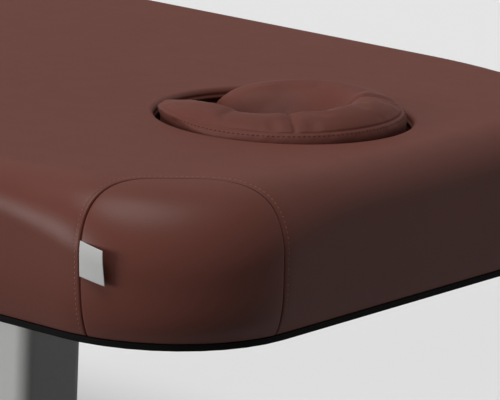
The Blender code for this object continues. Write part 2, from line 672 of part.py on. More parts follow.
def mattress_stations():
    """Points round the widest outline: place, outward direction and the share of the corner dome there."""
    radius = MATTRESS_CORNER
    half_arc = radius * math.pi / 4
    reach = half_arc + DOME_BLEND
    x, y = MATTRESS_LENGTH / 2 - radius, MATTRESS_WIDTH / 2 - radius
    blend_steps = [0.5, 1.0]

    def dome_share(distance):
        return 0.5 * (1 + math.cos(math.pi * min(distance / reach, 1)))

    stations = []
    for quarter, (sx, sy) in enumerate([(1, 1), (-1, 1), (-1, -1), (1, -1)]):
        first, last = quarter * math.pi / 2, (quarter + 1) * math.pi / 2
        centre = Vector((sx * x, sy * y))
        for share in reversed(blend_steps):
            outward = Vector((math.cos(first), math.sin(first)))
            along = Vector((-math.sin(first), math.cos(first)))
            spot = centre + radius * outward - share * DOME_BLEND * along
            stations.append((spot, outward, dome_share(half_arc + share * DOME_BLEND)))
        for k in range(MATTRESS_CORNER_STEPS + 1):
            angle = first + (last - first) * k / MATTRESS_CORNER_STEPS
            outward = Vector((math.cos(angle), math.sin(angle)))
            distance = abs(angle - (first + last) / 2) * radius
            stations.append((centre + radius * outward, outward, dome_share(distance)))
        for share in blend_steps:
            outward = Vector((math.cos(last), math.sin(last)))
            along = Vector((-math.sin(last), math.cos(last)))
            spot = centre + radius * outward + share * DOME_BLEND * along
            stations.append((spot, outward, dome_share(half_arc + share * DOME_BLEND)))
    return stations


def mattress_form(name, inside):
    """The mattress as a solid, or the same form lying a distance inside it all round."""
    stations = mattress_stations()

    def ring(height_share, turn):
        """A ring up the side at a share of its height, or round the top edge at a turn."""
        points = []
        for spot, outward, dome in stations:
            rounding = EDGE_ROUNDING + (CORNER_DOME - EDGE_ROUNDING) * dome
            side_height = MATTRESS_THICKNESS - rounding
            if turn is None:
                z = inside + (side_height - inside) * height_share
                inset = inside + SIDE_DRAW_IN * (1 - z / side_height) ** 2
            else:
                z = side_height + (rounding - inside) * math.sin(turn)
                inset = rounding - (rounding - inside) * math.cos(turn)
            points.append((*(spot - inset * outward), MATTRESS_BOTTOM + z))
        return points

    side_rings = [ring(share, None) for share in SIDE_RINGS]
    edge_rings = [ring(None, math.pi / 2 * k / EDGE_STEPS) for k in range(EDGE_STEPS + 1)]
    body = loft(side_rings + edge_rings)
    boolean(body, recess_cutter(name, inside), "DIFFERENCE")
    return body


def recess_cutter(name, inside):
    """The stepped face opening, with a rounded lip that runs out through the top."""
    wall = RECESS_RADIUS + inside
    hole = BREATHING_HOLE_RADIUS + inside
    floor = MATTRESS_TOP - RECESS_DEPTH - inside
    lip_radius, lip_z = RECESS_RADIUS + RECESS_LIP, MATTRESS_TOP - RECESS_LIP
    turns = [LIP_TURN * k / LIP_STEPS for k in range(LIP_STEPS, -1, -1)]
    bend = RECESS_LIP - inside
    lip = [(lip_radius - bend * math.cos(a), lip_z + bend * math.sin(a)) for a in turns]
    lip_end, lip_end_z = lip[0]
    run_out = (lip_end + OVERCUT * math.sin(LIP_TURN), lip_end_z + OVERCUT * math.cos(LIP_TURN))
    bottom = MATTRESS_BOTTOM - OVERCUT
    upper = [(0, run_out[1]), run_out, *lip]
    lower = [(wall, floor), (hole, floor), (hole, bottom), (0, bottom)]
    return helper(turned(upper + lower, RECESS_STEPS), f"{name}_recess", (FACE_X, 0, 0))


def build_mattress():
    """A foam core in a sewn cover, on a flat board with the breathing hole through all of it."""
    foam = mattress_form("foam", COVER_THICKNESS + FOAM_GAP)
    place(foam, "mattress_foam", foam_yellow, lift)

    cover = mattress_form("cover", 0)
    place(cover, "mattress_cover", vinyl, lift)
    smooth(cover)
    filling = mattress_form("filling", COVER_THICKNESS)
    boolean(cover, helper(filling, "cover_filling"), "DIFFERENCE")
    hem = SIDE_DRAW_IN + HEM_WIDTH
    opening = rounded_rectangle(
        MATTRESS_LENGTH - 2 * hem, MATTRESS_WIDTH - 2 * hem, MATTRESS_CORNER - hem, MATTRESS_CORNER_STEPS
    )
    hole_hem = circle(BREATHING_HOLE_RADIUS + HEM_WIDTH, (FACE_X, 0), RECESS_STEPS)
    under = prism([opening, hole_hem], COVER_THICKNESS + OVERCUT)
    spot = (0, 0, MATTRESS_BOTTOM + (COVER_THICKNESS - OVERCUT) / 2 + SEAT_GAP)
    boolean(cover, helper(under, "cover_opening", spot), "DIFFERENCE")

    board_size = (MATTRESS_LENGTH - 2 * SIDE_DRAW_IN, MATTRESS_WIDTH - 2 * SIDE_DRAW_IN)
    outline = rounded_rectangle(*board_size, MATTRESS_CORNER - SIDE_DRAW_IN, 2 * MATTRESS_CORNER_STEPS)
    hole = circle(BREATHING_HOLE_RADIUS, (FACE_X, 0), RECESS_STEPS)
    board = prism([outline, hole], BOARD_THICKNESS)
    place(board, "base_board", black_laminate, lift, (0, 0, BOARD_BOTTOM + BOARD_THICKNESS / 2))
    build_tag()


def build_tag():
    """A blank cloth tag held along one edge by the seam, standing off the corner as it curves away."""
    turn = math.asin(max(1 - TAG_FROM_HEAD / MATTRESS_CORNER, 0))
    outward = Vector((math.sin(turn), -math.cos(turn), 0))
    facet_turn = math.pi / 2 / MATTRESS_CORNER_STEPS
    off_middle = turn % facet_turn - facet_turn / 2
    cover_radius = MATTRESS_CORNER * math.cos(facet_turn / 2) / math.cos(off_middle)
    straight_run = max(TAG_FROM_HEAD - MATTRESS_CORNER, 0)
    corner_x = MATTRESS_LENGTH / 2 - MATTRESS_CORNER - straight_run
    corner_y = -(MATTRESS_WIDTH / 2 - MATTRESS_CORNER)
    seam = Vector((corner_x, corner_y, MATTRESS_TOP - TAG_BELOW_TOP))
    seam += outward * (cover_radius + SEAT_GAP)
    tag = block((TAG_WIDTH, TAG_THICKNESS, TAG_HEIGHT), TAG_THICKNESS / 4)
    tag.data.transform(Matrix.Translation((TAG_WIDTH / 2, -TAG_THICKNESS / 2, 0)))
    place(tag, "corner_tag", tag_cloth, lift, seam, (0, TAG_DROOP, turn - TAG_FLARE))


def build_face_cushion():
    """A horseshoe cushion on its own board, lying in the recess and lifting straight out."""
    floor = MATTRESS_TOP - RECESS_DEPTH
    seat = new_axis("face_cushion_seat", (FACE_X, 0, floor), lift)
    outer = RECESS_RADIUS - FACE_CUSHION_PLAY
    tip = math.pi - FACE_TIP_ANGLE
    angles = [tip * (2 * k / (FACE_STATIONS - 1) - 1) for k in range(FACE_STATIONS)]
    fullness = [tip_fullness((tip - abs(angle)) / FACE_TIP_TAPER) for angle in angles]

    board_sides = (outer - FACE_BOARD_MARGIN, FACE_CUSHION_HOLE + FACE_BOARD_MARGIN)
    outline = []
    for side, order in zip(board_sides, (1, -1)):
        for angle, full in list(zip(angles, fullness))[::order]:
            r = narrowed(side, full)
            outline.append((r * math.cos(angle), r * math.sin(angle)))
    board = prism([outline], FACE_BOARD_THICKNESS)
    middle = floor + SEAT_GAP + FACE_BOARD_THICKNESS / 2
    place(board, "face_cushion_board", black_laminate, seat, (FACE_X, 0, middle))

    bottom = floor + SEAT_GAP + FACE_BOARD_THICKNESS + SEAT_GAP
    rings = []
    for angle, full in zip(angles, fullness):
        rise = arm_rise((tip - abs(angle)) / FACE_ARM_SLOPE)
        height = FACE_TIP_HEIGHT + (1 - FACE_TIP_HEIGHT) * full
        ring = []
        for side, z in face_section(outer, bottom, rise):
            r = narrowed(side, full)
            ring.append((r * math.cos(angle), r * math.sin(angle), bottom + (z - bottom) * height))
        rings.append(ring)
    cushion = smooth(loft(rings), math.radians(50))
    place(cushion, "face_cushion", vinyl, seat, (FACE_X, 0, 0))


def arm_rise(share):
    """The share of its rise that an arm has at a share of its slope, easing in and out."""
    share = min(share, 1)
    return FACE_ARM_END_RISE + (1 - FACE_ARM_END_RISE) * share**2 * (3 - 2 * share)


def tip_fullness(share):
    """How full an arm is at a share of its tip's taper, rounding off as a quarter circle does."""
    return math.sqrt(1 - (1 - min(share, 1)) ** 2)


def narrowed(radius, full):
    """A radius of the ring drawn in towards the middle of the tip."""
    width = FACE_TIP_WIDTH + (1 - FACE_TIP_WIDTH) * full
    return FACE_TIP_RADIUS + (radius - FACE_TIP_RADIUS) * width


def bend(start, corner, end):
    """Points along a curve from start to end that rounds off a corner, without its last point."""
    start, corner, end = (Vector(point) for point in (start, corner, end))
    points = []
    for k in range(FACE_SECTION_STEPS):
        t = k / FACE_SECTION_STEPS
        points.append(tuple(start.lerp(corner, t).lerp(corner.lerp(end, t), t)))
    return points


def face_section(outer, bottom, rise):
    """The cushion's section as (radius, height): a boxed side, a top that rises inwards and a funnel."""
    rim = MATTRESS_TOP + FACE_RIM_RISE * rise
    crest = MATTRESS_TOP + FACE_CREST_RISE * rise
    hole = FACE_CUSHION_HOLE
    wall_top = (outer, rim - FACE_RIM_ROUNDING)
    shoulder = (outer - FACE_RIM_ROUNDING, rim)
    ridge = (FACE_CREST_RADIUS, crest)
    throat = (hole, crest - FACE_FUNNEL_DEPTH)
    points = [(hole, bottom), (outer, bottom)]
    points += bend(wall_top, (outer, rim), shoulder)
    points += bend(shoulder, ((outer + FACE_CREST_RADIUS) / 2, crest), ridge)
    points += bend(ridge, (hole, crest), throat)
    return [throat, *reversed(points)]


clear_scene()
parts = new_collection("massage_table")
cutters = new_collection("cutters")
carried_at = {}

vinyl = new_material("brown_vinyl", (0.13, 0.062, 0.053), 0.5)
foam_yellow = new_material("foam", (0.75, 0.66, 0.42), 0.9)
tag_cloth = new_material("tag_cloth", (0.72, 0.71, 0.69), 0.8)
black_laminate = new_material("black_laminate", (0.01, 0.01, 0.01), 0.5)
frame_paint = new_material("dark_frame_paint", (0.03, 0.03, 0.032), 0.45)
column_paint = new_material("column_paint", (0.62, 0.62, 0.62), 0.4)
bright_metal = new_material("bright_metal", (0.7, 0.7, 0.7), 0.3, 1.0)
brass = new_material("nut_brass", (0.7, 0.5, 0.2), 0.35, 1.0)
black_plastic = new_material("black_plastic", (0.02, 0.02, 0.02), 0.5)
pale_plastic = new_material("pale_plastic", (0.8, 0.8, 0.77), 0.5)

table = new_axis("table", (0, 0, 0))
lift = new_axis("lift", (0, 0, COLLAR_TOP), table)

build_base()
build_columns()
build_top_frame()
build_controls()
build_mattress()
build_face_cushion()
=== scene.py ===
import math

import bmesh
import bpy
import numpy as np
from mathutils import Matrix, Vector, noise
from mathutils.bvhtree import BVHTree
from mathutils.kdtree import KDTree


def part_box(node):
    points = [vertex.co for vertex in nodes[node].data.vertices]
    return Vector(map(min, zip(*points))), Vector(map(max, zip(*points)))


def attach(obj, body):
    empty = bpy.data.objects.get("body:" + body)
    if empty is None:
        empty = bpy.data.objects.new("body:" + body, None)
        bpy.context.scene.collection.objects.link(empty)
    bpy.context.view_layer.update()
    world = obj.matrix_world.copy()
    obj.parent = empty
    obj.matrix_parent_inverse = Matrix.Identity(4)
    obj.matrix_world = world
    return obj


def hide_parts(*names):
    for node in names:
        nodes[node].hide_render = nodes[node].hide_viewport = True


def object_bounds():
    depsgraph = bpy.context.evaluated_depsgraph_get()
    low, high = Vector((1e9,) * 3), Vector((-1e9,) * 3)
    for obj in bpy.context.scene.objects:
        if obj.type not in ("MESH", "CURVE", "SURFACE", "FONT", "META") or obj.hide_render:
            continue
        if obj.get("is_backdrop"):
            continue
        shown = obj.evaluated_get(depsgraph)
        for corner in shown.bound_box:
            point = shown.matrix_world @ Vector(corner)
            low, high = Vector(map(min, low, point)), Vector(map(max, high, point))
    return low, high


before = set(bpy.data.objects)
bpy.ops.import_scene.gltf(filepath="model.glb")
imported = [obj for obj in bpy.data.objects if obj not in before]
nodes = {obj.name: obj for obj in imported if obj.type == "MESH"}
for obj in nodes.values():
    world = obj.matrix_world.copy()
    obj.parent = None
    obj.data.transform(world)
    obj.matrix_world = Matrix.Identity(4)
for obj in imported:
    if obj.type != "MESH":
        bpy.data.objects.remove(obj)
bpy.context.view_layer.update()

# Base
# A spine and two cross feet of steel box tube, welded up and powder coated in near black.
# Moulded plugs are pressed into the tube ends, and four screw feet level the table.


def add(tree, kind, inputs=None, **settings):
    """Adds a node, sets it up, and feeds its inputs with plain values or with other nodes' outputs."""
    made = tree.nodes.new(kind)
    for key, value in settings.items():
        setattr(made, key, value)
    for key, value in (inputs or {}).items():
        if isinstance(value, bpy.types.NodeSocket):
            tree.links.new(value, made.inputs[key])
        else:
            made.inputs[key].default_value = value
    return made


def new_group(name, inputs, outputs):
    """An empty node group with named float inputs and outputs, and the nodes at its two ends."""
    group = bpy.data.node_groups.new(name, "ShaderNodeTree")
    for label, value in inputs.items():
        socket = group.interface.new_socket(label, in_out="INPUT", socket_type="NodeSocketFloat")
        socket.default_value = value
    for label in outputs:
        group.interface.new_socket(label, in_out="OUTPUT", socket_type="NodeSocketFloat")
    return group, add(group, "NodeGroupInput").outputs, add(group, "NodeGroupOutput").inputs


def math_node(tree, operation, first, second=0.0):
    """The result of a sum on one or two values."""
    return add(tree, "ShaderNodeMath", {0: first, 1: second}, operation=operation).outputs[0]


def noise_field(tree, scale, detail=2.0, roughness=0.5, vector=None):
    """Smooth noise in the piece's own space, with scale as the number of waves in a metre."""
    place = vector or add(tree, "ShaderNodeTexCoord").outputs["Object"]
    inputs = {"Vector": place, "Scale": scale, "Detail": detail, "Roughness": roughness}
    return add(tree, "ShaderNodeTexNoise", inputs).outputs["Fac"]


def spread(tree, value, low, high):
    """Stretches the part of a noise between low and high over 0 to 1."""
    inputs = {"Value": value, "From Min": low, "From Max": high}
    return add(tree, "ShaderNodeMapRange", inputs).outputs["Result"]


def spread_to(tree, value, low, high):
    """Turns a value from 0 to 1 into one from low to high."""
    inputs = {"Value": value, "To Min": low, "To Max": high}
    return add(tree, "ShaderNodeMapRange", inputs).outputs["Result"]


FINE_DIMPLES = 3.1  # fine dimples to each coarse one, along a line
FINE_DIMPLE_HEIGHT = 0.35  # as a share of the coarse ones
STREAKS = 160.0  # scuffs to the metre


def make_orange_peel():
    """The dimpled skin of powder coat and of spark-eroded mouldings, as a height."""
    group, given, result = new_group("orange_peel", {"Scale": 600.0}, ["Height"])
    coarse = noise_field(group, given["Scale"], detail=1.0)
    fine = noise_field(group, math_node(group, "MULTIPLY", given["Scale"], FINE_DIMPLES), detail=1.0)
    height = math_node(group, "MULTIPLY_ADD", fine, FINE_DIMPLE_HEIGHT)
    group.links.new(coarse, height.node.inputs[2])
    group.links.new(height, result["Height"])
    return group


def make_handling():
    """Where hands, shoes and dust have dulled a surface: broad patches broken up by fine streaks."""
    group, given, result = new_group("handling", {"Patches": 6.0, "Amount": 0.5}, ["Mask"])
    broad = spread(group, noise_field(group, given["Patches"], detail=3.0), low=0.42, high=0.75)
    fine = spread(group, noise_field(group, STREAKS, detail=4.0, roughness=0.65), low=0.35, high=0.8)
    mask = math_node(group, "MULTIPLY", math_node(group, "MULTIPLY", broad, fine), given["Amount"])
    group.links.new(mask, result["Mask"])
    return group


orange_peel = make_orange_peel()
handling = make_handling()


def place_group(tree, group, **values):
    """Puts a node group into a material with its own values."""
    made = add(tree, "ShaderNodeGroup", node_tree=group)
    for label, value in values.items():
        made.inputs[label].default_value = value
    return made.outputs


def mix_colour(tree, share, first, second):
    """The first colour where the share is 0, and the second where it is 1."""
    made = add(tree, "ShaderNodeMix", {0: share, 6: (*first, 1), 7: (*second, 1)}, data_type="RGBA")
    return made.outputs[2]


def bump_from(tree, height, strength, depth):
    """Normals for a surface with the given relief."""
    inputs = {"Height": height, "Strength": strength, "Distance": depth}
    return add(tree, "ShaderNodeBump", inputs).outputs["Normal"]


def new_finish(name, metallic=0.0, specular=0.5, **constants):
    """A material with its shader, ready for its colour, roughness and surface."""
    finish = bpy.data.materials.new(name)
    finish.use_nodes = True
    shader = finish.node_tree.nodes["Principled BSDF"]
    shader.inputs["Metallic"].default_value = metallic
    shader.inputs["Specular IOR Level"].default_value = specular
    for key, value in constants.items():
        shader.inputs[key.replace("_", " ")].default_value = value
    return finish, finish.node_tree, shader.inputs


def flat_angle(tree):
    """1 where a surface is seen at a flat angle, and 0 where it is seen square on."""
    return spread(tree, add(tree, "ShaderNodeLayerWeight").outputs["Facing"], low=0.3, high=0.8)


HANDLED_ROUGHNESS = 0.2  # added where a surface is handled most
HIDDEN_DIMPLES = 0.3  # roughness added at a flat angle, where the dimples hide each other
PEEL_STRENGTH = 0.5


def coated(name, colour, worn, roughness, peel, depth, amount, specular=0.5):
    """Paint or moulded plastic: a dimpled skin, dulled and a little paler where it is handled."""
    finish, tree, shader = new_finish(name, specular=specular)
    mask = place_group(tree, handling, Amount=amount)["Mask"]
    height = place_group(tree, orange_peel, Scale=peel)["Height"]
    tree.links.new(mix_colour(tree, mask, colour, worn), shader["Base Color"])
    dulled = spread_to(tree, mask, roughness, roughness + HANDLED_ROUGHNESS)
    hidden = math_node(tree, "MULTIPLY", flat_angle(tree), HIDDEN_DIMPLES)
    tree.links.new(math_node(tree, "ADD", dulled, hidden), shader["Roughness"])
    tree.links.new(bump_from(tree, height, PEEL_STRENGTH, depth), shader["Normal"])
    return finish


def dress(finish, *starts, edge=0.0008):
    """Gives the CAD pieces whose names start so their finish, with broken edges and smooth rounds."""
    for name in sorted(nodes):
        if not name.startswith(starts):
            continue
        piece = nodes[name]
        for slot in piece.material_slots:
            slot.material = finish
        if "custom_normal" in piece.data.attributes:
            piece.data.attributes.remove(piece.data.attributes["custom_normal"])
        piece.data.shade_smooth()
        piece.modifiers.new("joined", "WELD").merge_threshold = 1e-5
        flats = piece.modifiers.new("flats", "DECIMATE")
        flats.decimate_type = "DISSOLVE"
        flats.angle_limit = math.radians(0.5)
        edges = piece.modifiers.new("edges", "BEVEL")
        edges.width = edge
        edges.segments = 2
        edges.limit_method = "ANGLE"
        edges.angle_limit = math.radians(42)
        shading = piece.modifiers.new("shading", "WEIGHTED_NORMAL")
        shading.weight = 80


FRAME_BLACK = (0.018, 0.018, 0.019)
FRAME_WORN = (0.07, 0.068, 0.065)
PLASTIC_BLACK = (0.012, 0.012, 0.013)
PLASTIC_WORN = (0.05, 0.05, 0.05)
frame_paint = coated(
    "frame_paint", FRAME_BLACK, FRAME_WORN,
    roughness=0.46, peel=700, depth=0.0002, amount=0.35, specular=0.25,
)
black_plastic = coated(
    "black_plastic", PLASTIC_BLACK, PLASTIC_WORN,
    roughness=0.5, peel=1500, depth=0.0001, amount=0.3,
)
dress(frame_paint, "base_spine", "cross_foot_head", "cross_foot_foot", "column_foot_plate", edge=0.001)
dress(black_plastic, "cross_foot_plug", "levelling_foot")

# Foot plate bolts
# Four zinc-plated button head screws hold each lifting column down on the base.
# Each has a hexagon socket, and they are turned on the lathe and broached.

LINE_STRETCH = 60.0  # how much longer than wide the grinding lines are
LINE_WAVES = 25.0
HANDLED_SHADE = 0.72  # of bare metal where it is handled, as a share of its own colour


def brushed(name, colour, roughness, along, amount, uneven=0.1, metallic=1.0):
    """Bare metal with fine lines from grinding or drawing that run along one axis."""
    finish, tree, shader = new_finish(name, metallic)
    place = add(tree, "ShaderNodeTexCoord").outputs["Object"]
    stretch = [1.0 if axis == along else LINE_STRETCH for axis in "XYZ"]
    drawn = add(tree, "ShaderNodeMapping", {"Vector": place, "Scale": stretch}).outputs["Vector"]
    lines = noise_field(tree, LINE_WAVES, detail=4.0, roughness=0.6, vector=drawn)
    mask = place_group(tree, handling, Amount=amount)["Mask"]
    dulled = tuple(HANDLED_SHADE * part for part in colour)
    tree.links.new(mix_colour(tree, mask, colour, dulled), shader["Base Color"])
    tree.links.new(spread_to(tree, lines, roughness - uneven, roughness + uneven), shader["Roughness"])
    tree.links.new(bump_from(tree, lines, strength=0.12, depth=0.0001), shader["Normal"])
    return finish


def hexagon(radius, angle):
    """How far a hexagon's side lies from its middle at an angle, with radius at its corners."""
    return radius * math.cos(math.pi / 6) / math.cos(angle % (math.pi / 3) - math.pi / 6)


def lathe(form, profile, steps, turn=Matrix.Identity(4), broached=()):
    """Turns (radius, height) points about Z into the form and puts the result where turn says.

    The points whose numbers are in broached become hexagons.
    """
    rings = []
    for number, (radius, height) in enumerate(profile):
        if radius == 0:
            rings.append([form.verts.new(turn @ Vector((0, 0, height)))])
            continue
        angles = [2 * math.pi * k / steps for k in range(steps)]
        reaches = [hexagon(radius, a) if number in broached else radius for a in angles]
        spots = [(r * math.cos(a), r * math.sin(a), height) for r, a in zip(reaches, angles)]
        rings.append([form.verts.new(turn @ Vector(spot)) for spot in spots])
    for ring, following in zip(rings, rings[1:]):
        for k in range(steps):
            corners = [ring[k % len(ring)], ring[(k + 1) % len(ring)]]
            corners += [following[(k + 1) % len(following)], following[k % len(following)]]
            form.faces.new(list(dict.fromkeys(corners)))


def new_piece(name, form, finish, body):
    """Makes a smooth-shaded object from a form, gives it its finish and lets it ride on a body."""
    mesh = bpy.data.meshes.new(name)
    bmesh.ops.recalc_face_normals(form, faces=form.faces)
    form.to_mesh(mesh)
    form.free()
    mesh.shade_smooth()
    mesh.materials.append(finish)
    piece = bpy.data.objects.new(name, mesh)
    bpy.context.scene.collection.objects.link(piece)
    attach(piece, body)
    return piece


SCREW_SIDES = 18
SCREW_HEAD = 0.55  # height of a head, as a share of its width
SCREW_WALL = 0.25  # height of a head's upright edge, as a share of the head's
SCREW_SOCKET = 0.5  # depth of a socket and radius of its corners, as shares of the head's radius
SOCKET_RIM = 1.15  # radius of the chamfer round a socket, as a share of the socket's
SOCKET_LAND = 1.25  # radius of the flat ring outside it
CHAMFER_DEPTH = 0.0002
DOME_STEPS = 5
DOME_ROUNDNESS = 0.6
SCREW_CREASE = math.radians(40)


def button_screws(name, spots, radius, turn, finish, body):
    """Button head screws with hexagon sockets, heads towards the turn's +Z, as one group."""
    form = bmesh.new()
    head = SCREW_HEAD * 2 * radius
    socket = SCREW_SOCKET * radius
    socket_floor = head - SCREW_SOCKET * radius
    profile = [(radius, 0)]
    for k in range(DOME_STEPS):
        angle = math.pi / 2 * k / DOME_STEPS
        dome = max(radius * math.cos(angle) ** DOME_ROUNDNESS, socket * SOCKET_LAND)
        profile.append((dome, SCREW_WALL * head + (1 - SCREW_WALL) * head * math.sin(angle)))
    profile.append((socket * SOCKET_RIM, head))
    socket_rows = (len(profile), len(profile) + 1)
    profile += [(socket, head - CHAMFER_DEPTH), (socket, socket_floor), (0, socket_floor)]
    for spot in spots:
        lathe(form, profile, SCREW_SIDES, Matrix.Translation(spot) @ turn, socket_rows)
    piece = new_piece(name, form, finish, body)
    piece.data.set_sharp_from_angle(angle=SCREW_CREASE)


zinc = brushed("zinc_plate", (0.62, 0.62, 0.6), roughness=0.34, along="Z", amount=0.4)
UP = Matrix.Identity(4)
DOWN = Matrix.Rotation(math.pi, 4, "X")
SCREW_RADIUS = 0.0062
SCREW_MARGIN = 0.014  # from the edges of the plate to the screw's middle


def plate_corners(node, height):
    """The four corners of a plate, drawn in by the screws' margin."""
    low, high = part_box(node)
    xs = (low.x + SCREW_MARGIN, high.x - SCREW_MARGIN)
    ys = (low.y + SCREW_MARGIN, high.y - SCREW_MARGIN)
    return [Vector((x, y, height)) for x in xs for y in ys]


for end in ("head", "foot"):
    plate_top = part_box(f"column_foot_plate_{end}")[1].z
    spots = plate_corners(f"column_foot_plate_{end}", plate_top)
    button_screws(f"foot_plate_screws_{end}", spots, SCREW_RADIUS, UP, zinc, "base")

# Lifting columns
# A pale powder-coated steel tube on each foot plate, closed by a moulded collar.
# A drawn and anodised aluminium tube slides up out of it on plastic guides.

COLUMN_GREY = (0.55, 0.55, 0.54)
COLUMN_WORN = (0.42, 0.41, 0.39)
TUBE_GREY = (0.42, 0.42, 0.43)
GUIDE_WHITE = (0.7, 0.69, 0.65)
GUIDE_WORN = (0.5, 0.48, 0.43)
column_paint = coated(
    "column_paint", COLUMN_GREY, COLUMN_WORN,
    roughness=0.38, peel=800, depth=0.00015, amount=0.4,
)
inner_tube = brushed("drawn_aluminium", TUBE_GREY, roughness=0.55, along="Z", amount=0.35, metallic=0.4)
pale_plastic = coated(
    "pale_plastic", GUIDE_WHITE, GUIDE_WORN,
    roughness=0.45, peel=1500, depth=0.00008, amount=0.4,
)
dress(column_paint, "column_outer", edge=0.0012)
dress(black_plastic, "column_collar", edge=0.0015)
dress(inner_tube, "column_inner")
dress(pale_plastic, "guide_sleeve", "guide_slider")

# Lifting drive
# In each column a geared motor turns a rolled steel spindle in a brass nut.
# The nut sits on a steel plate that is welded into the inner tube.

steel = brushed("ground_steel", (0.56, 0.56, 0.55), roughness=0.32, along="X", amount=0.4)
brass = brushed("turned_brass", (0.72, 0.5, 0.2), roughness=0.3, along="X", amount=0.3)
dress(black_plastic, "lift_motor")
dress(steel, "lift_spindle", "nut_plate")
dress(brass, "drive_nut")

# Top frame
# Two long rails and three cross members of steel box tube, powder coated like the base.
# A plate on each inner tube is bolted up under the cross members.

dress(frame_paint, "frame_rail", "cross_member", "column_top_plate", edge=0.0009)
dress(black_plastic, "rail_plug")
for end in ("head", "foot"):
    plate_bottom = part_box(f"column_top_plate_{end}")[0].z
    spots = plate_corners(f"column_top_plate_{end}", plate_bottom)
    button_screws(f"top_plate_screws_{end}", spots, SCREW_RADIUS, DOWN, zinc, "top")

# Foot bars and control unit
# Chromed steel bars along both sides tip in brackets and work the switches on the base.
# The control unit hangs under the middle cross member, with a mains inlet in its end.

chrome = brushed("chrome", (0.56, 0.56, 0.57), roughness=0.12, along="X", amount=0.3, uneven=0.02)
dress(chrome, "foot_bar")
dress(frame_paint, "pivot_bracket", edge=0.001)
dress(frame_paint, "control_lid", edge=0.0009)
dress(black_plastic, "foot_switch", "control_box", "mains_inlet")
LID_SCREW_RADIUS = 0.0035
LID_SCREW_MARGIN = 0.006
lid_low, lid_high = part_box("control_lid")
lid_xs = (lid_low.x + LID_SCREW_MARGIN, 0.0, lid_high.x - LID_SCREW_MARGIN)
lid_ys = (lid_low.y + LID_SCREW_MARGIN, lid_high.y - LID_SCREW_MARGIN)
lid_spots = [Vector((x, y, lid_low.z)) for x in lid_xs for y in lid_ys]
button_screws("lid_screws", lid_spots, LID_SCREW_RADIUS, DOWN, zinc, "top")

# Board
# A board with a black laminate skin carries the mattress on the top frame.
# It is sawn to the outline of the mattress, and its edge shows as a thin black band.

LAMINATE_BLACK = (0.005, 0.005, 0.005)
LAMINATE_WORN = (0.01, 0.01, 0.01)
laminate = coated(
    "black_laminate", LAMINATE_BLACK, LAMINATE_WORN,
    roughness=0.6, peel=900, depth=0.0001, amount=0.3, specular=0.03,
)
dress(laminate, "base_board", "face_cushion_board", edge=0.0012)

# Mattress
# Thick foam in a sewn cover of brown vinyl, with a domed panel let into each corner.
# The panel's seam is opened flat and stitched down on its outer side.
# The cover is drawn taut over the foam and turned under, and the foam leaves its sides a little uneven.

mattress_low, mattress_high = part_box("mattress_cover")
LENGTH = mattress_high.x - mattress_low.x
WIDTH = mattress_high.y - mattress_low.y
THICKNESS = mattress_high.z - mattress_low.z
CORNER = 0.166  # plan radius of the corners
EDGE = 0.043  # rounding of the top edge along the sides
DOME = 0.085  # rounding of the top edge at the corners
BLEND = 0.120  # straight side over which the dome dies away
DRAW_IN = 0.012  # how far the sides are pulled in at the bottom
HEM = 0.002  # rounding where the cover turns under
FLAT_MARGIN = 0.012  # worked surface past the rounding of the top edge
HALF_ARC = CORNER * math.pi / 4
REACH = HALF_ARC + BLEND
SIDE = 0.0753  # height of the side under the rounding, where the panel's seam comes down

SEAM_MIDDLE = 0.0048  # along the outline from the corner's diagonal, towards the end
SEAM_HALF_WIDTH = 0.1068
SEAM_LEG = 0.035  # where the legs turn into the arch, over the rounding from its start
SEAM_HEIGHT = 0.1210
SEAM_SQUARENESS = (2.45, 2.2)  # of the arch, on the side and on the end
SEAM_LEAN = (0.006, 0.005)  # how far the legs lean towards the end by the time they reach the hem
SEAM_LEAN_BENDS = (1.3, 1.6)  # how late the lean comes, as a power of the way down
ARCH_POINTS = 1600
LEG_POINTS = 600
SEAM_STEPS = 480
SEAM_RINGS = 30
RING_CROWDING = 1.9  # how much closer the rings lie beside the seam, as a power
PATCH_SPAN = 8.0  # safely past the patch's edge, in ways from the panel's foot to the seam
HALVINGS = 50  # in the search for that edge
FOOT_STEPS = (0, 0.004, 0.01, 0.018, 0.027, 0.04)  # fine rings where the panel's lines meet at the hem


def ease(share):
    """Goes smoothly from 0 to 1 as the share does."""
    share = np.clip(share, 0, 1)
    return share * share * (3 - 2 * share)


def rounding(along):
    """Radius of the top edge, which grows from the sides towards the corner's diagonal."""
    share = np.clip(np.abs(along) / REACH, 0, 1)
    return EDGE + (DOME - EDGE) * 0.5 * (1 + np.cos(np.pi * share))


def cover_form(along, up):
    """Places and outward directions on one corner of the cover.

    along runs round the outline from the corner's diagonal. up is measured over the surface from the
    start of the rounding, and is negative on the side, down to -SIDE at the bottom.
    """
    bent = np.clip(along, -HALF_ARC, HALF_ARC)
    angle = math.pi / 4 - bent / CORNER
    out = np.stack([np.cos(angle), np.sin(angle)], -1)
    onward = np.stack([np.sin(angle), -np.cos(angle)], -1)
    middle = np.array([LENGTH / 2 - CORNER, WIDTH / 2 - CORNER])
    spot = middle + CORNER * out + (along - bent)[..., None] * onward
    radius = rounding(along)
    side = THICKNESS - radius
    turn = np.clip(up / radius, 0, math.pi / 2)
    height = np.where(up <= 0, side * (1 + np.minimum(up, 0) / SIDE), side + radius * np.sin(turn))
    share_down = np.clip(1 - height / side, 0, 1)
    under = np.clip(1 - height / HEM, 0, 1)
    drawn = DRAW_IN * share_down**4 + HEM * (1 - np.sqrt(np.maximum(1 - under**2, 0)))
    over = radius * (1 - np.cos(turn)) + np.maximum(up - radius * math.pi / 2, 0)
    spot = spot - (drawn + over)[..., None] * out
    place = np.concatenate([spot, (mattress_low.z + height)[..., None]], -1)
    normal = np.concatenate([np.cos(turn)[..., None] * out, np.sin(turn)[..., None]], -1)
    return place, normal


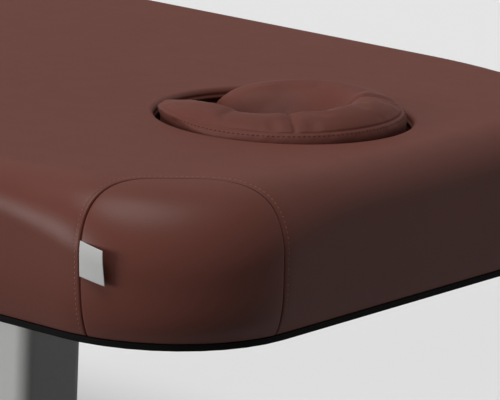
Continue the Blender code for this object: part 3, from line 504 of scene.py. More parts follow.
def even_steps(points, places, count):
    """Resamples a path so that its places in space are evenly spaced."""
    lengths = np.linalg.norm(np.diff(places, axis=0), axis=1)
    run = np.concatenate([[0], np.cumsum(lengths)])
    wanted = np.linspace(0, run[-1], count)
    return np.stack([np.interp(wanted, run, column) for column in points.T], -1)


def panel_seam():
    """The panel's seam: up one side of the corner, over in a squared arch and down the other side."""
    swing = np.linspace(math.pi, 0, ARCH_POINTS)
    power = 2 / np.where(swing > math.pi / 2, *SEAM_SQUARENESS)
    arch_along = SEAM_MIDDLE + SEAM_HALF_WIDTH * np.sign(np.cos(swing)) * np.abs(np.cos(swing)) ** power
    arch_up = SEAM_LEG + (SEAM_HEIGHT - SEAM_LEG) * np.abs(np.sin(swing)) ** power
    down = np.linspace(0, 1, LEG_POINTS)
    leg_up = SEAM_LEG - (SEAM_LEG + SIDE) * down
    lean_side, lean_end = [lean * down**bend for lean, bend in zip(SEAM_LEAN, SEAM_LEAN_BENDS)]
    side_leg = np.stack([SEAM_MIDDLE - SEAM_HALF_WIDTH + lean_side, leg_up], -1)
    end_leg = np.stack([SEAM_MIDDLE + SEAM_HALF_WIDTH + lean_end, leg_up], -1)
    arch = np.stack([arch_along, arch_up], -1)
    path = np.concatenate([side_leg[::-1], arch[1:-1], end_leg])
    return even_steps(path, cover_form(*path.T)[0], SEAM_STEPS)


def leave_patch(seam, start):
    """How far each line from start through the seam runs on until it leaves the corner's patch."""
    low, high = np.ones(len(seam)), np.full(len(seam), PATCH_SPAN)
    for _ in range(HALVINGS):
        middle = (low + high) / 2
        along, up = (start + middle[:, None] * (seam - start)).T
        inside = (np.abs(along) < REACH) & (up < rounding(along) * math.pi / 2 + FLAT_MARGIN)
        low, high = np.where(inside, middle, low), np.where(inside, high, middle)
    return start + low[:, None] * (seam - start)


seam_path = panel_seam()
panel_foot = np.array([SEAM_MIDDLE, -SIDE])
patch_edge = leave_patch(seam_path, panel_foot)
on_side = np.flatnonzero(patch_edge[:, 0] < -REACH + 1e-6)
on_end = np.flatnonzero(patch_edge[:, 0] > REACH - 1e-6)
for rows, sign in ((on_side, -1), (on_end, 1)):
    patch_edge[rows, 0] = sign * REACH
top_corner = rounding(np.array(REACH)) * math.pi / 2 + FLAT_MARGIN
patch_edge[on_side[-1], 1] = top_corner
patch_edge[on_end[0], 1] = top_corner

steps_in = 1 - np.linspace(1, 0, SEAM_RINGS + 1) ** RING_CROWDING
steps_in = np.concatenate([FOOT_STEPS, steps_in[1:]])
steps_out = np.linspace(0, 1, SEAM_RINGS + 1) ** RING_CROWDING
panel_grid = panel_foot + steps_in[:, None, None] * (seam_path - panel_foot)
outer_grid = seam_path + steps_out[1:, None, None] * (patch_edge - seam_path)
patch_grid = np.concatenate([panel_grid, outer_grid])
patch_place, patch_normal = cover_form(patch_grid[..., 0], patch_grid[..., 1])

seam_place = cover_form(*seam_path.T)[0]
seam_tree = KDTree(len(seam_place))
for k, place in enumerate(seam_place):
    seam_tree.insert(place, k)
seam_tree.balance()
found = [seam_tree.find(place) for place in patch_place.reshape(-1, 3)]
from_seam = np.array([distance for _, _, distance in found]).reshape(patch_place.shape[:2])
nearest_step = np.array([index for _, index, _ in found]).reshape(patch_place.shape[:2])

GROOVE_DEPTH = 0.0030
GROOVE_WIDTH = 0.0009
PANEL_SWELL = 0.0016  # how far the panel stands out from its seam
PANEL_SHOULDER = 0.020
ALLOWANCE = 0.0056  # seam allowance, stitched down at its edge
ALLOWANCE_RISE = 0.0001
ALLOWANCE_STEP = 0.0015  # from the stitches to the allowance's cut edge
ALLOWANCE_SLOPE = 0.002  # over which the cover comes down past that edge
COVER_SWELL = 0.0006  # how far the main cover stands out from the seam
COVER_SHOULDER = 0.015
STITCH_PITCH = 0.0052
STITCH_GROOVE = 0.0003
STITCH_GROOVE_WIDTH = 0.0011
PUCKER = 0.35  # share of the groove that comes and goes with each stitch
FADE_START = 0.4  # share of the way from the seam to the edge of the patch
HEM_FADE = 0.02  # height over which the panel's swell begins

ring_number = np.arange(len(patch_grid))[:, None]
inside_panel = ring_number < len(panel_grid)
to_edge = np.clip((ring_number - len(panel_grid) + 1) / SEAM_RINGS, 0, 1)
edge_fade = 1 - ease((to_edge - FADE_START) / (1 - FADE_START))
seam_length = np.linalg.norm(np.diff(seam_place, axis=0), axis=1).sum()
stitch_phase = nearest_step * (seam_length / (SEAM_STEPS - 1)) / STITCH_PITCH
pucker = 1 - PUCKER + PUCKER * np.cos(2 * math.pi * stitch_phase)
groove = -GROOVE_DEPTH * np.exp(-((from_seam / GROOVE_WIDTH) ** 2))
panel_side = PANEL_SWELL * (1 - np.exp(-from_seam / PANEL_SHOULDER))
cover_side = COVER_SWELL * (1 - np.exp(-from_seam / COVER_SHOULDER)) - COVER_SWELL
cover_side += ALLOWANCE_RISE * ease((ALLOWANCE + ALLOWANCE_STEP - from_seam) / ALLOWANCE_SLOPE)
cover_side -= STITCH_GROOVE * pucker * np.exp(-(((from_seam - ALLOWANCE) / STITCH_GROOVE_WIDTH) ** 2))
panel_side *= ease((patch_place[..., 2] - mattress_low.z) / HEM_FADE)
moved = groove * edge_fade + np.where(inside_panel, panel_side, cover_side * edge_fade)
patch_place = patch_place + moved[..., None] * patch_normal

cover_places = []
cover_normals = []
cover_quads = []


def lay_grid(place, normal, turn_x=1, turn_y=1):
    """Adds a grid of the cover, mirrored to the quarter of the mattress that the signs name."""
    first = sum(len(part) for part in cover_places)
    rows, columns = place.shape[:2]
    flip = np.array([turn_x, turn_y, 1])
    cover_places.append(place.reshape(-1, 3) * flip)
    cover_normals.append(normal.reshape(-1, 3) * flip)
    index = first + np.arange(rows * columns).reshape(rows, columns)
    corners = (index[:-1, :-1], index[1:, :-1], index[1:, 1:], index[:-1, 1:])
    cover_quads.extend(np.stack(corners, -1).reshape(-1, 4).tolist())


def straight_run(rows, axis, columns):
    """The cover between two corners, as the profile at the edge of their patches drawn along an axis."""
    place, normal = cover_form(*patch_edge[rows].T)
    run = np.repeat(place[:, None], columns, axis=1)
    run[..., axis] = np.linspace(1, -1, columns) * place[0, axis]
    return run, np.repeat(normal[:, None], columns, axis=1)


SIDE_COLUMNS = 41
END_COLUMNS = 9
side_run = straight_run(on_side, 0, SIDE_COLUMNS)
end_run = straight_run(on_end, 1, END_COLUMNS)
for sign_x in (1, -1):
    for sign_y in (1, -1):
        lay_grid(patch_place, patch_normal, sign_x, sign_y)
    lay_grid(*end_run, turn_x=sign_x)
for sign_y in (1, -1):
    lay_grid(*side_run, turn_y=sign_y)

SLACK = 0.0007  # unevenness of the foam under the cover
SLACK_WAVE = 0.11
SLACK_TILT = (0.9, 0.5)  # upward tilt at which the unevenness starts, and over which it grows
SLACK_FOOT = 0.03
MERGE = 4e-6  # between the points of neighbouring grids
places = np.concatenate(cover_places)
normals = np.concatenate(cover_normals)
uneven = np.array([noise.noise(Vector(place) / SLACK_WAVE) for place in places])
off_the_top = ease((SLACK_TILT[0] - normals[:, 2]) / SLACK_TILT[1])
on_the_side = off_the_top * ease((places[:, 2] - mattress_low.z) / SLACK_FOOT)
places = places + (SLACK * uneven * on_the_side)[:, None] * normals

mattress_mesh = bpy.data.meshes.new("mattress")
mattress_mesh.from_pydata(places.tolist(), [], cover_quads)
form = bmesh.new()
form.from_mesh(mattress_mesh)
bmesh.ops.remove_doubles(form, verts=form.verts, dist=MERGE)

PORES = 2.6  # pores to each pebble, along a line
PORE_HEIGHT = 0.5  # as a share of the pebbles


def make_leather_grain():
    """The pressed grain of vinyl: rounded pebbles of uneven size with fine creases between them."""
    group, given, result = new_group("leather_grain", {"Pebbles": 700.0}, ["Height"])
    place = add(group, "ShaderNodeTexCoord").outputs["Object"]
    cells = {"Vector": place, "Scale": given["Pebbles"], "Smoothness": 0.6}
    pebbles = add(group, "ShaderNodeTexVoronoi", cells, feature="SMOOTH_F1").outputs["Distance"]
    pores = noise_field(group, math_node(group, "MULTIPLY", given["Pebbles"], PORES), detail=2.0)
    height = math_node(group, "MULTIPLY_ADD", pores, PORE_HEIGHT)
    group.links.new(math_node(group, "SUBTRACT", 1.0, pebbles), height.node.inputs[2])
    group.links.new(height, result["Height"])
    return group


leather_grain = make_leather_grain()
VINYL = (0.114, 0.035, 0.0255)
VINYL_DEEP = (0.108, 0.033, 0.024)
VINYL_PEBBLES = 750
VINYL_DULL = 0.75  # roughness at a flat angle, where the pebbles hide each other
VINYL_UNEVEN = 0.04


def vinyl_finish(name, satin, light, deep):
    """Brown vinyl with a pressed grain: satin, but dull at a flat angle."""
    finish, tree, shader = new_finish(name, specular=0.13)
    height = place_group(tree, leather_grain, Pebbles=VINYL_PEBBLES)["Height"]
    shade = spread(tree, noise_field(tree, 9.0, detail=3.0), low=0.3, high=0.7)
    tree.links.new(mix_colour(tree, shade, light, deep), shader["Base Color"])
    dullness = spread_to(tree, flat_angle(tree), satin, VINYL_DULL)
    uneven = spread_to(tree, noise_field(tree, 40.0, detail=3.0), -VINYL_UNEVEN, VINYL_UNEVEN)
    tree.links.new(math_node(tree, "ADD", dullness, uneven), shader["Roughness"])
    tree.links.new(bump_from(tree, height, strength=0.2, depth=0.00025), shader["Normal"])
    return finish


vinyl = vinyl_finish("vinyl", satin=0.37, light=VINYL, deep=VINYL_DEEP)

# Face recess
# The cover is cut out over the recess and turned down into it over a soft lip, with a bead below it.
# A shelf in the foam carries the face cushion, and the breathing hole goes on down through it.

CUSHION_RADIUS = 0.129
RECESS_RADIUS = 0.134
RECESS_LIP = 0.006
RECESS_DEPTH = 0.080
BREATHING_RADIUS = 0.070
RECESS_STEPS = 168
FLOOR_ROUNDING = 0.004
LIP_STEPS = 10
FLOOR_STEPS = 5
BEAD = (  # out from the recess's wall, and down from the top
    (0.0002, 0.0072),
    (-0.0010, 0.0086),
    (-0.0014, 0.0100),
    (-0.0010, 0.0114),
    (0.0004, 0.0126),
    (0, 0.015),
)
WALL_LEVELS = (0.02, 0.05)  # rows of the wall, down from the top
HOLE_LEVEL = 0.03  # row of the breathing hole, down from the shelf
SAME_LEVEL = 1e-5
face_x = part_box("face_cushion")[1].x - CUSHION_RADIUS
face_middle = Matrix.Translation((face_x, 0, 0))
top_z, bottom_z = mattress_high.z, mattress_low.z
shelf_z = top_z - RECESS_DEPTH


def quarter(middle_r, middle_z, radius, start, end, steps):
    """Points on an arc in the (radius, height) plane, between two angles in degrees."""
    angles = [math.radians(start + (end - start) * k / steps) for k in range(steps + 1)]
    return [(middle_r + radius * math.cos(a), middle_z + radius * math.sin(a)) for a in angles]


lip_middle = (RECESS_RADIUS + RECESS_LIP, top_z - RECESS_LIP)
floor_corner = (RECESS_RADIUS - FLOOR_ROUNDING, shelf_z + FLOOR_ROUNDING)
hole_lip = (BREATHING_RADIUS + FLOOR_ROUNDING, shelf_z - FLOOR_ROUNDING)
recess_profile = quarter(*lip_middle, RECESS_LIP, 90, 180, LIP_STEPS)
recess_profile += [(RECESS_RADIUS + out, top_z - down) for out, down in BEAD]
recess_profile += [(RECESS_RADIUS, top_z - down) for down in WALL_LEVELS]
recess_profile += quarter(*floor_corner, FLOOR_ROUNDING, 0, -90, FLOOR_STEPS)
recess_profile += quarter(*hole_lip, FLOOR_ROUNDING, 90, 180, FLOOR_STEPS)
recess_profile += [(BREATHING_RADIUS, shelf_z - HOLE_LEVEL), (BREATHING_RADIUS, bottom_z)]
lathe(form, recess_profile, RECESS_STEPS, face_middle)
for level in (top_z, bottom_z):
    open_edges = [edge for edge in form.edges if edge.is_boundary]
    rim = [edge for edge in open_edges if all(abs(v.co.z - level) < SAME_LEVEL for v in edge.verts)]
    bmesh.ops.triangle_fill(form, use_beauty=True, use_dissolve=False, edges=rim)

mattress = new_piece("mattress", form, vinyl, "top")
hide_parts("mattress_cover", "mattress_foam")

# Panel stitching
# Tan thread holds the seam allowance down on the outer side of each corner panel.
# Each stitch lies on the vinyl and dips into its two needle holes.

TWIST_WAVES = 900.0


def thread(name, dark, light, roughness):
    """Sewing thread, mottled from dark to light by its twist."""
    finish, tree, shader = new_finish(name, specular=0.2, Roughness=roughness)
    shade = noise_field(tree, TWIST_WAVES, detail=2.0)
    tree.links.new(mix_colour(tree, shade, dark, light), shader["Base Color"])
    tree.links.new(bump_from(tree, shade, strength=0.5, depth=0.0002), shader["Normal"])
    return finish


tan_thread = thread("tan_thread", (0.18, 0.085, 0.07), (0.25, 0.13, 0.11), roughness=0.6)
THREAD_SIDES = 8
STITCH_STATIONS = (-1, -0.92, -0.7, -0.35, 0, 0.35, 0.7, 0.92, 1)
STITCH_FULLNESS = 3.5  # how late a stitch thins towards its ends, as a power
STITCH_TIP = 0.05  # what is left there
STITCH_LIFT = 0.12  # of a stitch's middle off the vinyl, as a share of the thread's thickness
STITCH_DIP = 0.4  # from there to its ends


def sew(form, skin, path, pitch, length, thickness):
    """Lays stitches along a path on a skin, each an oval of thread with its ends drawn in."""
    lengths = np.linalg.norm(np.diff(path, axis=0), axis=1)
    run = np.concatenate([[0], np.cumsum(lengths)])
    for middle in np.arange(pitch, run[-1] - pitch, pitch):
        holes = (middle - length / 2, middle + length / 2)
        start, end = [Vector([np.interp(hole, run, column) for column in path.T]) for hole in holes]
        centre, normal, _, _ = skin.find_nearest((start + end) / 2)
        onward = (end - start).normalized()
        across = normal.cross(onward).normalized()
        lift = onward.cross(across)
        rings = []
        for share in STITCH_STATIONS:
            radius = thickness / 2 * max(1 - abs(share) ** STITCH_FULLNESS, STITCH_TIP) ** 0.5
            dip = thickness * (STITCH_LIFT - STITCH_DIP * share**2)
            heart = centre + onward * (share * length / 2) + lift * dip
            turns = [2 * math.pi * k / THREAD_SIDES for k in range(THREAD_SIDES)]
            ring = [heart + radius * (across * math.cos(a) + lift * math.sin(a)) for a in turns]
            rings.append([form.verts.new(spot) for spot in ring])
        for ring, following in zip(rings, rings[1:]):
            for k in range(THREAD_SIDES):
                after = (k + 1) % THREAD_SIDES
                form.faces.new((ring[k], ring[after], following[after], following[k]))
        form.faces.new(rings[0])
        form.faces.new(rings[-1])


def skin_of(piece):
    """A piece's surface, in a form that can be searched for the nearest place."""
    mesh = piece.data
    spots = [v.co.copy() for v in mesh.vertices]
    return BVHTree.FromPolygons(spots, [tuple(p.vertices) for p in mesh.polygons])


STITCH_LENGTH = 0.0026
THREAD_THICKNESS = 0.0009
mattress_skin = skin_of(mattress)
stitch_line = []
for step in range(SEAM_STEPS):
    outside = patch_place[len(panel_grid) - 1 :, step]
    distances = from_seam[len(panel_grid) - 1 :, step]
    stitch_line.append([np.interp(ALLOWANCE, distances, column) for column in outside.T])
stitch_line = np.array(stitch_line)
for end, sign_x in (("head", 1), ("foot", -1)):
    for side, sign_y in (("near", -1), ("far", 1)):
        form = bmesh.new()
        path = stitch_line * np.array([sign_x, sign_y, 1])
        sew(form, mattress_skin, path, STITCH_PITCH, STITCH_LENGTH, THREAD_THICKNESS)
        new_piece(f"panel_stitches_{end}_{side}", form, tan_thread, "top")

# Corner tag
# A blank doubled ribbon of pale woven cloth, caught in the panel's seam at the near head corner.
# It stands off the cover a little and hangs from the seam.

TAG_WIDTH = 0.034
TAG_HEIGHT = 0.0345
TAG_THICKNESS = 0.0009
TAG_FLARE_TOP = (math.radians(13), math.radians(7))  # off the side, at the seam and the free edge
TAG_FLARE_BOTTOM = (math.radians(6), math.radians(2))
TAG_DROOP = math.radians(5)
TAG_IN_SEAM = 0.001  # how deep it is held in the seam
TAG_STEPS = 40
TAG_RAISED = 0.0012  # higher than in the solid
TAG_EDGE = 24  # how late the cloth thins towards its free edge, as a power
TAG_THREADS = 4200
TAG_GREY = (0.41, 0.41, 0.405)
TAG_PALE = (0.47, 0.47, 0.465)
tag_low, tag_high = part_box("corner_tag")
tag_z = (tag_low.z + tag_high.z) / 2 + TAG_RAISED


def make_weave():
    """Plain weave: threads over and under each other along the piece's own X and Z, as a height."""
    group, given, result = new_group("weave", {"Threads": 2500.0}, ["Height"])
    place = add(group, "ShaderNodeTexCoord").outputs["Object"]
    axes = add(group, "ShaderNodeSeparateXYZ", {"Vector": place}).outputs
    waves = []
    for axis in ("X", "Z"):
        turn = math_node(group, "MULTIPLY", axes[axis], given["Threads"])
        waves.append(math_node(group, "SINE", turn))
    height = math_node(group, "MULTIPLY_ADD", math_node(group, "MULTIPLY", waves[0], waves[1]), 0.5)
    height.node.inputs[2].default_value = 0.5
    group.links.new(height, result["Height"])
    return group


weave = make_weave()
tag_cloth, tree, shader = new_finish("tag_cloth", specular=0.25, Roughness=0.75, Sheen_Weight=0.2)
tag_weave = place_group(tree, weave, Threads=TAG_THREADS)["Height"]
tree.links.new(mix_colour(tree, tag_weave, TAG_GREY, TAG_PALE), shader["Base Color"])
tree.links.new(bump_from(tree, tag_weave, strength=0.4, depth=0.0002), shader["Normal"])

side_leg_steps = seam_place - TAG_IN_SEAM * cover_form(*seam_path.T)[1]
side_leg_columns = (side_leg_steps[: SEAM_STEPS // 2] * np.array([1, -1, 1])).T
upward = np.linspace(0, 1, TAG_STEPS + 1)[:, None]
onward = np.linspace(0, 1, TAG_STEPS + 1)
tag_level = tag_z + TAG_HEIGHT * (upward[:, 0] - 0.5)
sewn_edge = [np.interp(tag_level, side_leg_columns[2], column) for column in side_leg_columns]
sewn_edge = np.stack(sewn_edge, -1)
flare_top = TAG_FLARE_TOP[0] + (TAG_FLARE_TOP[1] - TAG_FLARE_TOP[0]) * onward
flare_bottom = TAG_FLARE_BOTTOM[0] + (TAG_FLARE_BOTTOM[1] - TAG_FLARE_BOTTOM[0]) * onward
flare = flare_bottom + (flare_top - flare_bottom) * upward
heading = np.stack([np.cos(flare), -np.sin(flare), 0 * flare - math.sin(TAG_DROOP)], -1)
heading[:, 0] = 0
tag_sheet = sewn_edge[:, None] + np.cumsum(heading, axis=1) * TAG_WIDTH / TAG_STEPS
tag_facing = np.stack([np.sin(flare), np.cos(flare), 0 * flare], -1)
seam_at_tag = sewn_edge[TAG_STEPS // 2]
half = TAG_THICKNESS / 2 * np.sqrt(np.maximum(1 - onward**TAG_EDGE, 0))[:, None]
form = bmesh.new()
sheets = []
for face in (1, -1):
    surface = tag_sheet - seam_at_tag - face * half * tag_facing
    rows = [[form.verts.new(spot) for spot in row] for row in surface]
    sheets.append(rows)
    for low, high in zip(rows, rows[1:]):
        for j in range(TAG_STEPS):
            form.faces.new((low[j], low[j + 1], high[j + 1], high[j]))
for rows in ([sheet[0] for sheet in sheets], [sheet[-1] for sheet in sheets]):
    for j in range(TAG_STEPS):
        form.faces.new((rows[0][j], rows[0][j + 1], rows[1][j + 1], rows[1][j]))
for k in (0, -1):
    for j in range(TAG_STEPS):
        corners = [sheets[0][j][k], sheets[0][j + 1][k], sheets[1][j + 1][k], sheets[1][j][k]]
        form.faces.new(corners)
bmesh.ops.remove_doubles(form, verts=form.verts, dist=1e-6)
tag = new_piece("corner_tag_ribbon", form, tag_cloth, "top")
tag.location = seam_at_tag
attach(tag, "top")
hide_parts("corner_tag")

# Face cushion
# A horseshoe of foam in vinyl that lies loose in the recess, open towards the foot end.
# A boxing strip is sewn round its rim, and two short seams cross its top panel at the head end.

HOLE_RADIUS = 0.045
FOOT_RADIUS = 0.1272
CREST_RADIUS = 0.086
CREST_ROUNDING = 0.008  # where the top turns down into the opening
FUNNEL_TOP = (0.0685, 0.0115)  # radius of the sloping wall's top, and its depth below the crest
FUNNEL_FOOT = (0.0475, 0.0380)
RIM_RISE = 0.0085
CREST_RISE = 0.0170
HEAD_PUFF = 0.0020  # how far the head part swells between its two seams
HEAD_RISE = 0.0050  # how much thicker the cushion is at its head part than in its arms
HEAD_ANGLE = math.radians(15)
HEAD_SPREAD = math.radians(110)
HEAD_RIM = 0.6  # share of that rise that the rim takes up
FOLD_PUFF = 0.0017  # how much the near arm's cover bunches up, from the fold to the tip
FOLD_ANGLE = math.radians(-84)
FOLD_SPREAD = math.radians(5)
FOLD_FADE = 1.2  # how soon the bunching is full, on the way back from the tip
RIM_ROUNDING = 0.008
BOXING_HEIGHT = 0.012
BOXING_BULGE = 0.0045  # on the near arm, whose boxing hangs over
BULGE_START = math.radians(-86)
BULGE_SPREAD = math.radians(26)
BULGE_RISE = 0.0015  # how much higher the boxing is fullest where it hangs over
BOXING_DROP = 0.0030  # from the rim to where the boxing is fullest
WALL_FULLNESS = 0.0005  # of the wall under the boxing, past the cushion's radius
WALL_TUCK = 0.0045  # how far the wall goes in under the overhang
SEAM_PINCHES = (0.0016, 0.0045)  # how far the two seams draw the top panel in
SEAM_ROLLS = (0.0010, 0.0012)  # how far it rolls up beside them, on the arms' side
PINCH_ANGLE = math.radians(4)
ROLL_ANGLE = math.radians(6)
SEAM_SWIRL = 1.2  # angle per metre by which the seams across the top turn on their way out
FUNNEL_DEPTH = 0.055
ARM_SLOPE = math.radians(75)
RIM_ENDS = (0.42, 0.30)  # shares of the rises that are left at the near and far arms' ends
CREST_ENDS = (0.15, 0.60)
ARM_LIFT = 0.0025  # how far the near arm's rim is pushed up
ARM_LIFT_ANGLE = math.radians(-122)
ARM_LIFT_SPREAD = math.radians(25)
TIP_ANGLES = (math.radians(8), math.radians(12.5))  # from the middle line to the near and far tips
TIP_TAPER = math.radians(30)
TIP_RADIUS = 0.100
TIP_WIDTH = 0.5
TIP_HEIGHT = 0.72
TIP_BULGE = 0.006
TIP_RINGS = 5
TIP_GAP = 0.35  # left open by the last ring, in rings
LIE = (-0.0022, -0.0006)  # where the cushion has been pushed in its recess
CROSS_SEAMS = (math.radians(-44.5), math.radians(47))
STATIONS = 121  # sections round the horseshoe, each with these rows from the hole's foot outwards
UNDERSIDE_ROWS = 14
WALL_ROWS = 14
BOXING_ROWS = 4
TOP_ROWS = 11
LIP_ROWS = 6
FUNNEL_ROWS = 8
THROAT_ROWS = 5
HOLE_ROWS = 3
BOXING_ROW = UNDERSIDE_ROWS + WALL_ROWS
RIM_ROW = BOXING_ROW + BOXING_ROWS - 1
CREST_ROW = BOXING_ROW + BOXING_ROWS + TOP_ROWS
THROAT_ROW = CREST_ROW + LIP_ROWS + FUNNEL_ROWS
cushion_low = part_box("face_cushion")[0].z


def bend_curve(start, corner, end, steps):
    """Points of a curve that rounds off a corner, without its last point, for every station."""
    share = (np.arange(steps) / steps)[:, None, None]
    return (1 - share) ** 2 * start + 2 * share * (1 - share) * corner + share**2 * end


def straight_line(start, end, steps):
    """Points of a straight line, without its last point, for every station."""
    share = (np.arange(steps) / steps)[:, None, None]
    return start + share * (end - start)


def pair(radius, height):
    """(radius, height) points, one for each station."""
    return np.stack(np.broadcast_arrays(radius, height), -1).astype(float)


angles = np.linspace(TIP_ANGLES[0] - math.pi, math.pi - TIP_ANGLES[1], STATIONS)
to_tip = np.minimum(angles - angles[0], angles[-1] - angles)
slope = np.clip(to_tip / ARM_SLOPE, 0, 1)
crest_end = np.where(angles < 0, *CREST_ENDS)
head_rise = HEAD_RISE * np.cos(np.clip((angles - HEAD_ANGLE) / HEAD_SPREAD, -1, 1) * math.pi / 2) ** 2
full = np.sqrt(1 - (1 - np.clip(to_tip / TIP_TAPER, 0, 1)) ** 2)
rim_end = np.where(angles < 0, *RIM_ENDS)
rim = top_z + RIM_RISE * (rim_end + (1 - rim_end) * ease(slope)) + HEAD_RIM * head_rise
rim += ARM_LIFT * np.exp(-(((angles - ARM_LIFT_ANGLE) / ARM_LIFT_SPREAD) ** 2))
crest = top_z + CREST_RISE * (crest_end + (1 - crest_end) * ease(slope)) + head_rise
between_seams = (angles - np.mean(CROSS_SEAMS)) / (np.ptp(CROSS_SEAMS) / 2)
crest += HEAD_PUFF * np.sqrt(np.clip(1 - between_seams**2, 0, 1))
crest += FOLD_PUFF * ease((FOLD_ANGLE - angles) / FOLD_SPREAD) * ease(slope * FOLD_FADE)
for seam_angle, pinch, roll in zip(CROSS_SEAMS, SEAM_PINCHES, SEAM_ROLLS):
    crest -= pinch * np.exp(-(((angles - seam_angle) / PINCH_ANGLE) ** 2))
    beside = seam_angle + math.copysign(ROLL_ANGLE, seam_angle)
    crest += roll * np.exp(-(((angles - beside) / PINCH_ANGLE) ** 2))
rim_radius = CUSHION_RADIUS - RIM_ROUNDING
wall_foot = pair(FOOT_RADIUS + 0 * angles, cushion_low)
bulge = ease((BULGE_START - angles) / BULGE_SPREAD)
wall_top = pair(CUSHION_RADIUS + WALL_FULLNESS - WALL_TUCK * bulge, rim - BOXING_HEIGHT)
boxing_edge = pair(CUSHION_RADIUS + BOXING_BULGE * bulge, rim - BOXING_DROP + BULGE_RISE * bulge)
shoulder = pair(rim_radius, rim)
ridge = pair(CREST_RADIUS, crest)
funnel_top = pair(FUNNEL_TOP[0], crest - FUNNEL_TOP[1])
funnel_foot = pair(FUNNEL_FOOT[0], crest - FUNNEL_FOOT[1])
throat = pair(HOLE_RADIUS, crest - FUNNEL_DEPTH)
hole_foot = pair(HOLE_RADIUS + 0 * angles, cushion_low)
crown = pair((CUSHION_RADIUS + CREST_RADIUS) / 2, crest)
lip = pair(CREST_RADIUS - CREST_ROUNDING, crest)
parts = [
    straight_line(hole_foot, wall_foot, UNDERSIDE_ROWS),
    straight_line(wall_foot, wall_top, WALL_ROWS),
    bend_curve(wall_top, boxing_edge, shoulder, BOXING_ROWS),
    bend_curve(shoulder, crown, ridge, TOP_ROWS),
    bend_curve(ridge, lip, funnel_top, LIP_ROWS),
    straight_line(funnel_top, funnel_foot, FUNNEL_ROWS),
    straight_line(funnel_foot, throat, THROAT_ROWS),
    straight_line(throat, hole_foot, HOLE_ROWS),
]
section = np.concatenate(parts)
width = TIP_WIDTH + (1 - TIP_WIDTH) * full
tall = TIP_HEIGHT + (1 - TIP_HEIGHT) * full
radius = TIP_RADIUS + (section[..., 0] - TIP_RADIUS) * width
height = cushion_low + (section[..., 1] - cushion_low) * tall
turned = angles + SEAM_SWIRL * (radius - CUSHION_RADIUS)
ring_places = np.stack([radius * np.cos(turned), radius * np.sin(turned), height], -1).transpose(1, 0, 2)


def rounded_tip(ring, angle):
    """Rings that close an arm's end, drawn in towards its middle as they bulge onwards."""
    middle = ring.mean(axis=0)
    onward = math.copysign(1, angle) * np.array([-math.sin(angle), math.cos(angle), 0])
    closing = []
    for k in range(1, TIP_RINGS + 1):
        turn = math.pi / 2 * k / (TIP_RINGS + TIP_GAP)
        closing.append(middle + (ring - middle) * math.cos(turn) + onward * TIP_BULGE * math.sin(turn))
    return closing


before = rounded_tip(ring_places[0], angles[0])[::-1]
after = rounded_tip(ring_places[-1], angles[-1])
cushion_grid = np.concatenate([before, ring_places, after])
cushion_grid += np.array([face_x + LIE[0], LIE[1], 0])
rows, columns = cushion_grid.shape[:2]
index = np.arange(rows * columns).reshape(rows, columns)
following = np.roll(index, -1, axis=1)
corners = (index[:-1], index[1:], following[1:], following[:-1])
cushion_quads = np.stack(corners, -1).reshape(-1, 4).tolist()
cushion_quads += [index[0].tolist(), index[-1][::-1].tolist()]
cushion_mesh = bpy.data.meshes.new("face_cushion_form")
cushion_mesh.from_pydata(cushion_grid.reshape(-1, 3).tolist(), [], cushion_quads)
cushion_form = bpy.data.objects.new("face_cushion_form", cushion_mesh)
bpy.context.scene.collection.objects.link(cushion_form)

seam_share = np.zeros((rows, columns))
seam_share[:, RIM_ROW] = 1
for seam_angle in CROSS_SEAMS:
    station = TIP_RINGS + int(np.argmin(np.abs(angles - seam_angle)))
    seam_share[station, RIM_ROW : THROAT_ROW + 1] = 1
held_share = seam_share.copy()
held_share[:, : BOXING_ROW + 1] = 1
held_share[:, THROAT_ROW:] = 1
held_share[:TIP_RINGS] = 1
held_share[-TIP_RINGS:] = 1


def weight_group(piece, name, shares):
    """Keeps a share for each point of a piece in a vertex group, and gives the group's number."""
    group = piece.vertex_groups.new(name=name)
    for k in np.flatnonzero(shares.ravel() > 0):
        group.add([int(k)], float(shares.flat[k]), "REPLACE")
    return group.index


weight_group(cushion_form, "held", held_share)
seam_group = weight_group(cushion_form, "seams", seam_share)
CUSHION_PRESSURE = 4.0
CUSHION_SPARE_CLOTH = 0.01
CUSHION_MOVES = 0.003  # the most that the filling pushes the cover out
FUNNEL_FIRMNESS = 0.8  # share of that push that the foam keeps off the funnel's wall
SETTLE_FRAMES = 20
RECESS_GAP = 0.0005  # the least between the cushion and the recess's wall
crown_share = 1 - FUNNEL_FIRMNESS * ease((np.arange(columns) - CREST_ROW) / LIP_ROWS)

cloth = cushion_form.modifiers.new("filling", "CLOTH")
cloth.settings.quality = 6
cloth.settings.mass = 0.3
cloth.settings.tension_stiffness = 15
cloth.settings.compression_stiffness = 15
cloth.settings.shear_stiffness = 6
cloth.settings.bending_stiffness = 1.5
cloth.settings.use_pressure = True
cloth.settings.uniform_pressure_force = CUSHION_PRESSURE
cloth.settings.shrink_min = -CUSHION_SPARE_CLOTH
cloth.settings.vertex_group_mass = "held"
cloth.settings.effector_weights.gravity = 0
cloth.collision_settings.use_collision = False
cloth.point_cache.frame_end = SETTLE_FRAMES
for number in range(1, SETTLE_FRAMES + 1):
    bpy.context.scene.frame_set(number)
settled = cushion_form.evaluated_get(bpy.context.evaluated_depsgraph_get()).to_mesh()
swollen = np.array([v.co for v in settled.vertices])
cushion_form.modifiers.remove(cloth)
bpy.context.scene.frame_set(1)
rest = cushion_grid.reshape(-1, 3)
push = swollen - rest
reach = np.linalg.norm(push, axis=1, keepdims=True)
push *= np.minimum(1, CUSHION_MOVES / np.maximum(reach, 1e-9)) * np.tile(crown_share, rows)[:, None]
swollen = rest + push
from_middle = swollen[:, :2] - np.array([face_x, 0])
widest = np.linalg.norm(from_middle, axis=1, keepdims=True)
room = RECESS_RADIUS - RECESS_GAP
swollen[:, :2] = np.array([face_x, 0]) + from_middle * np.minimum(1, room / widest)
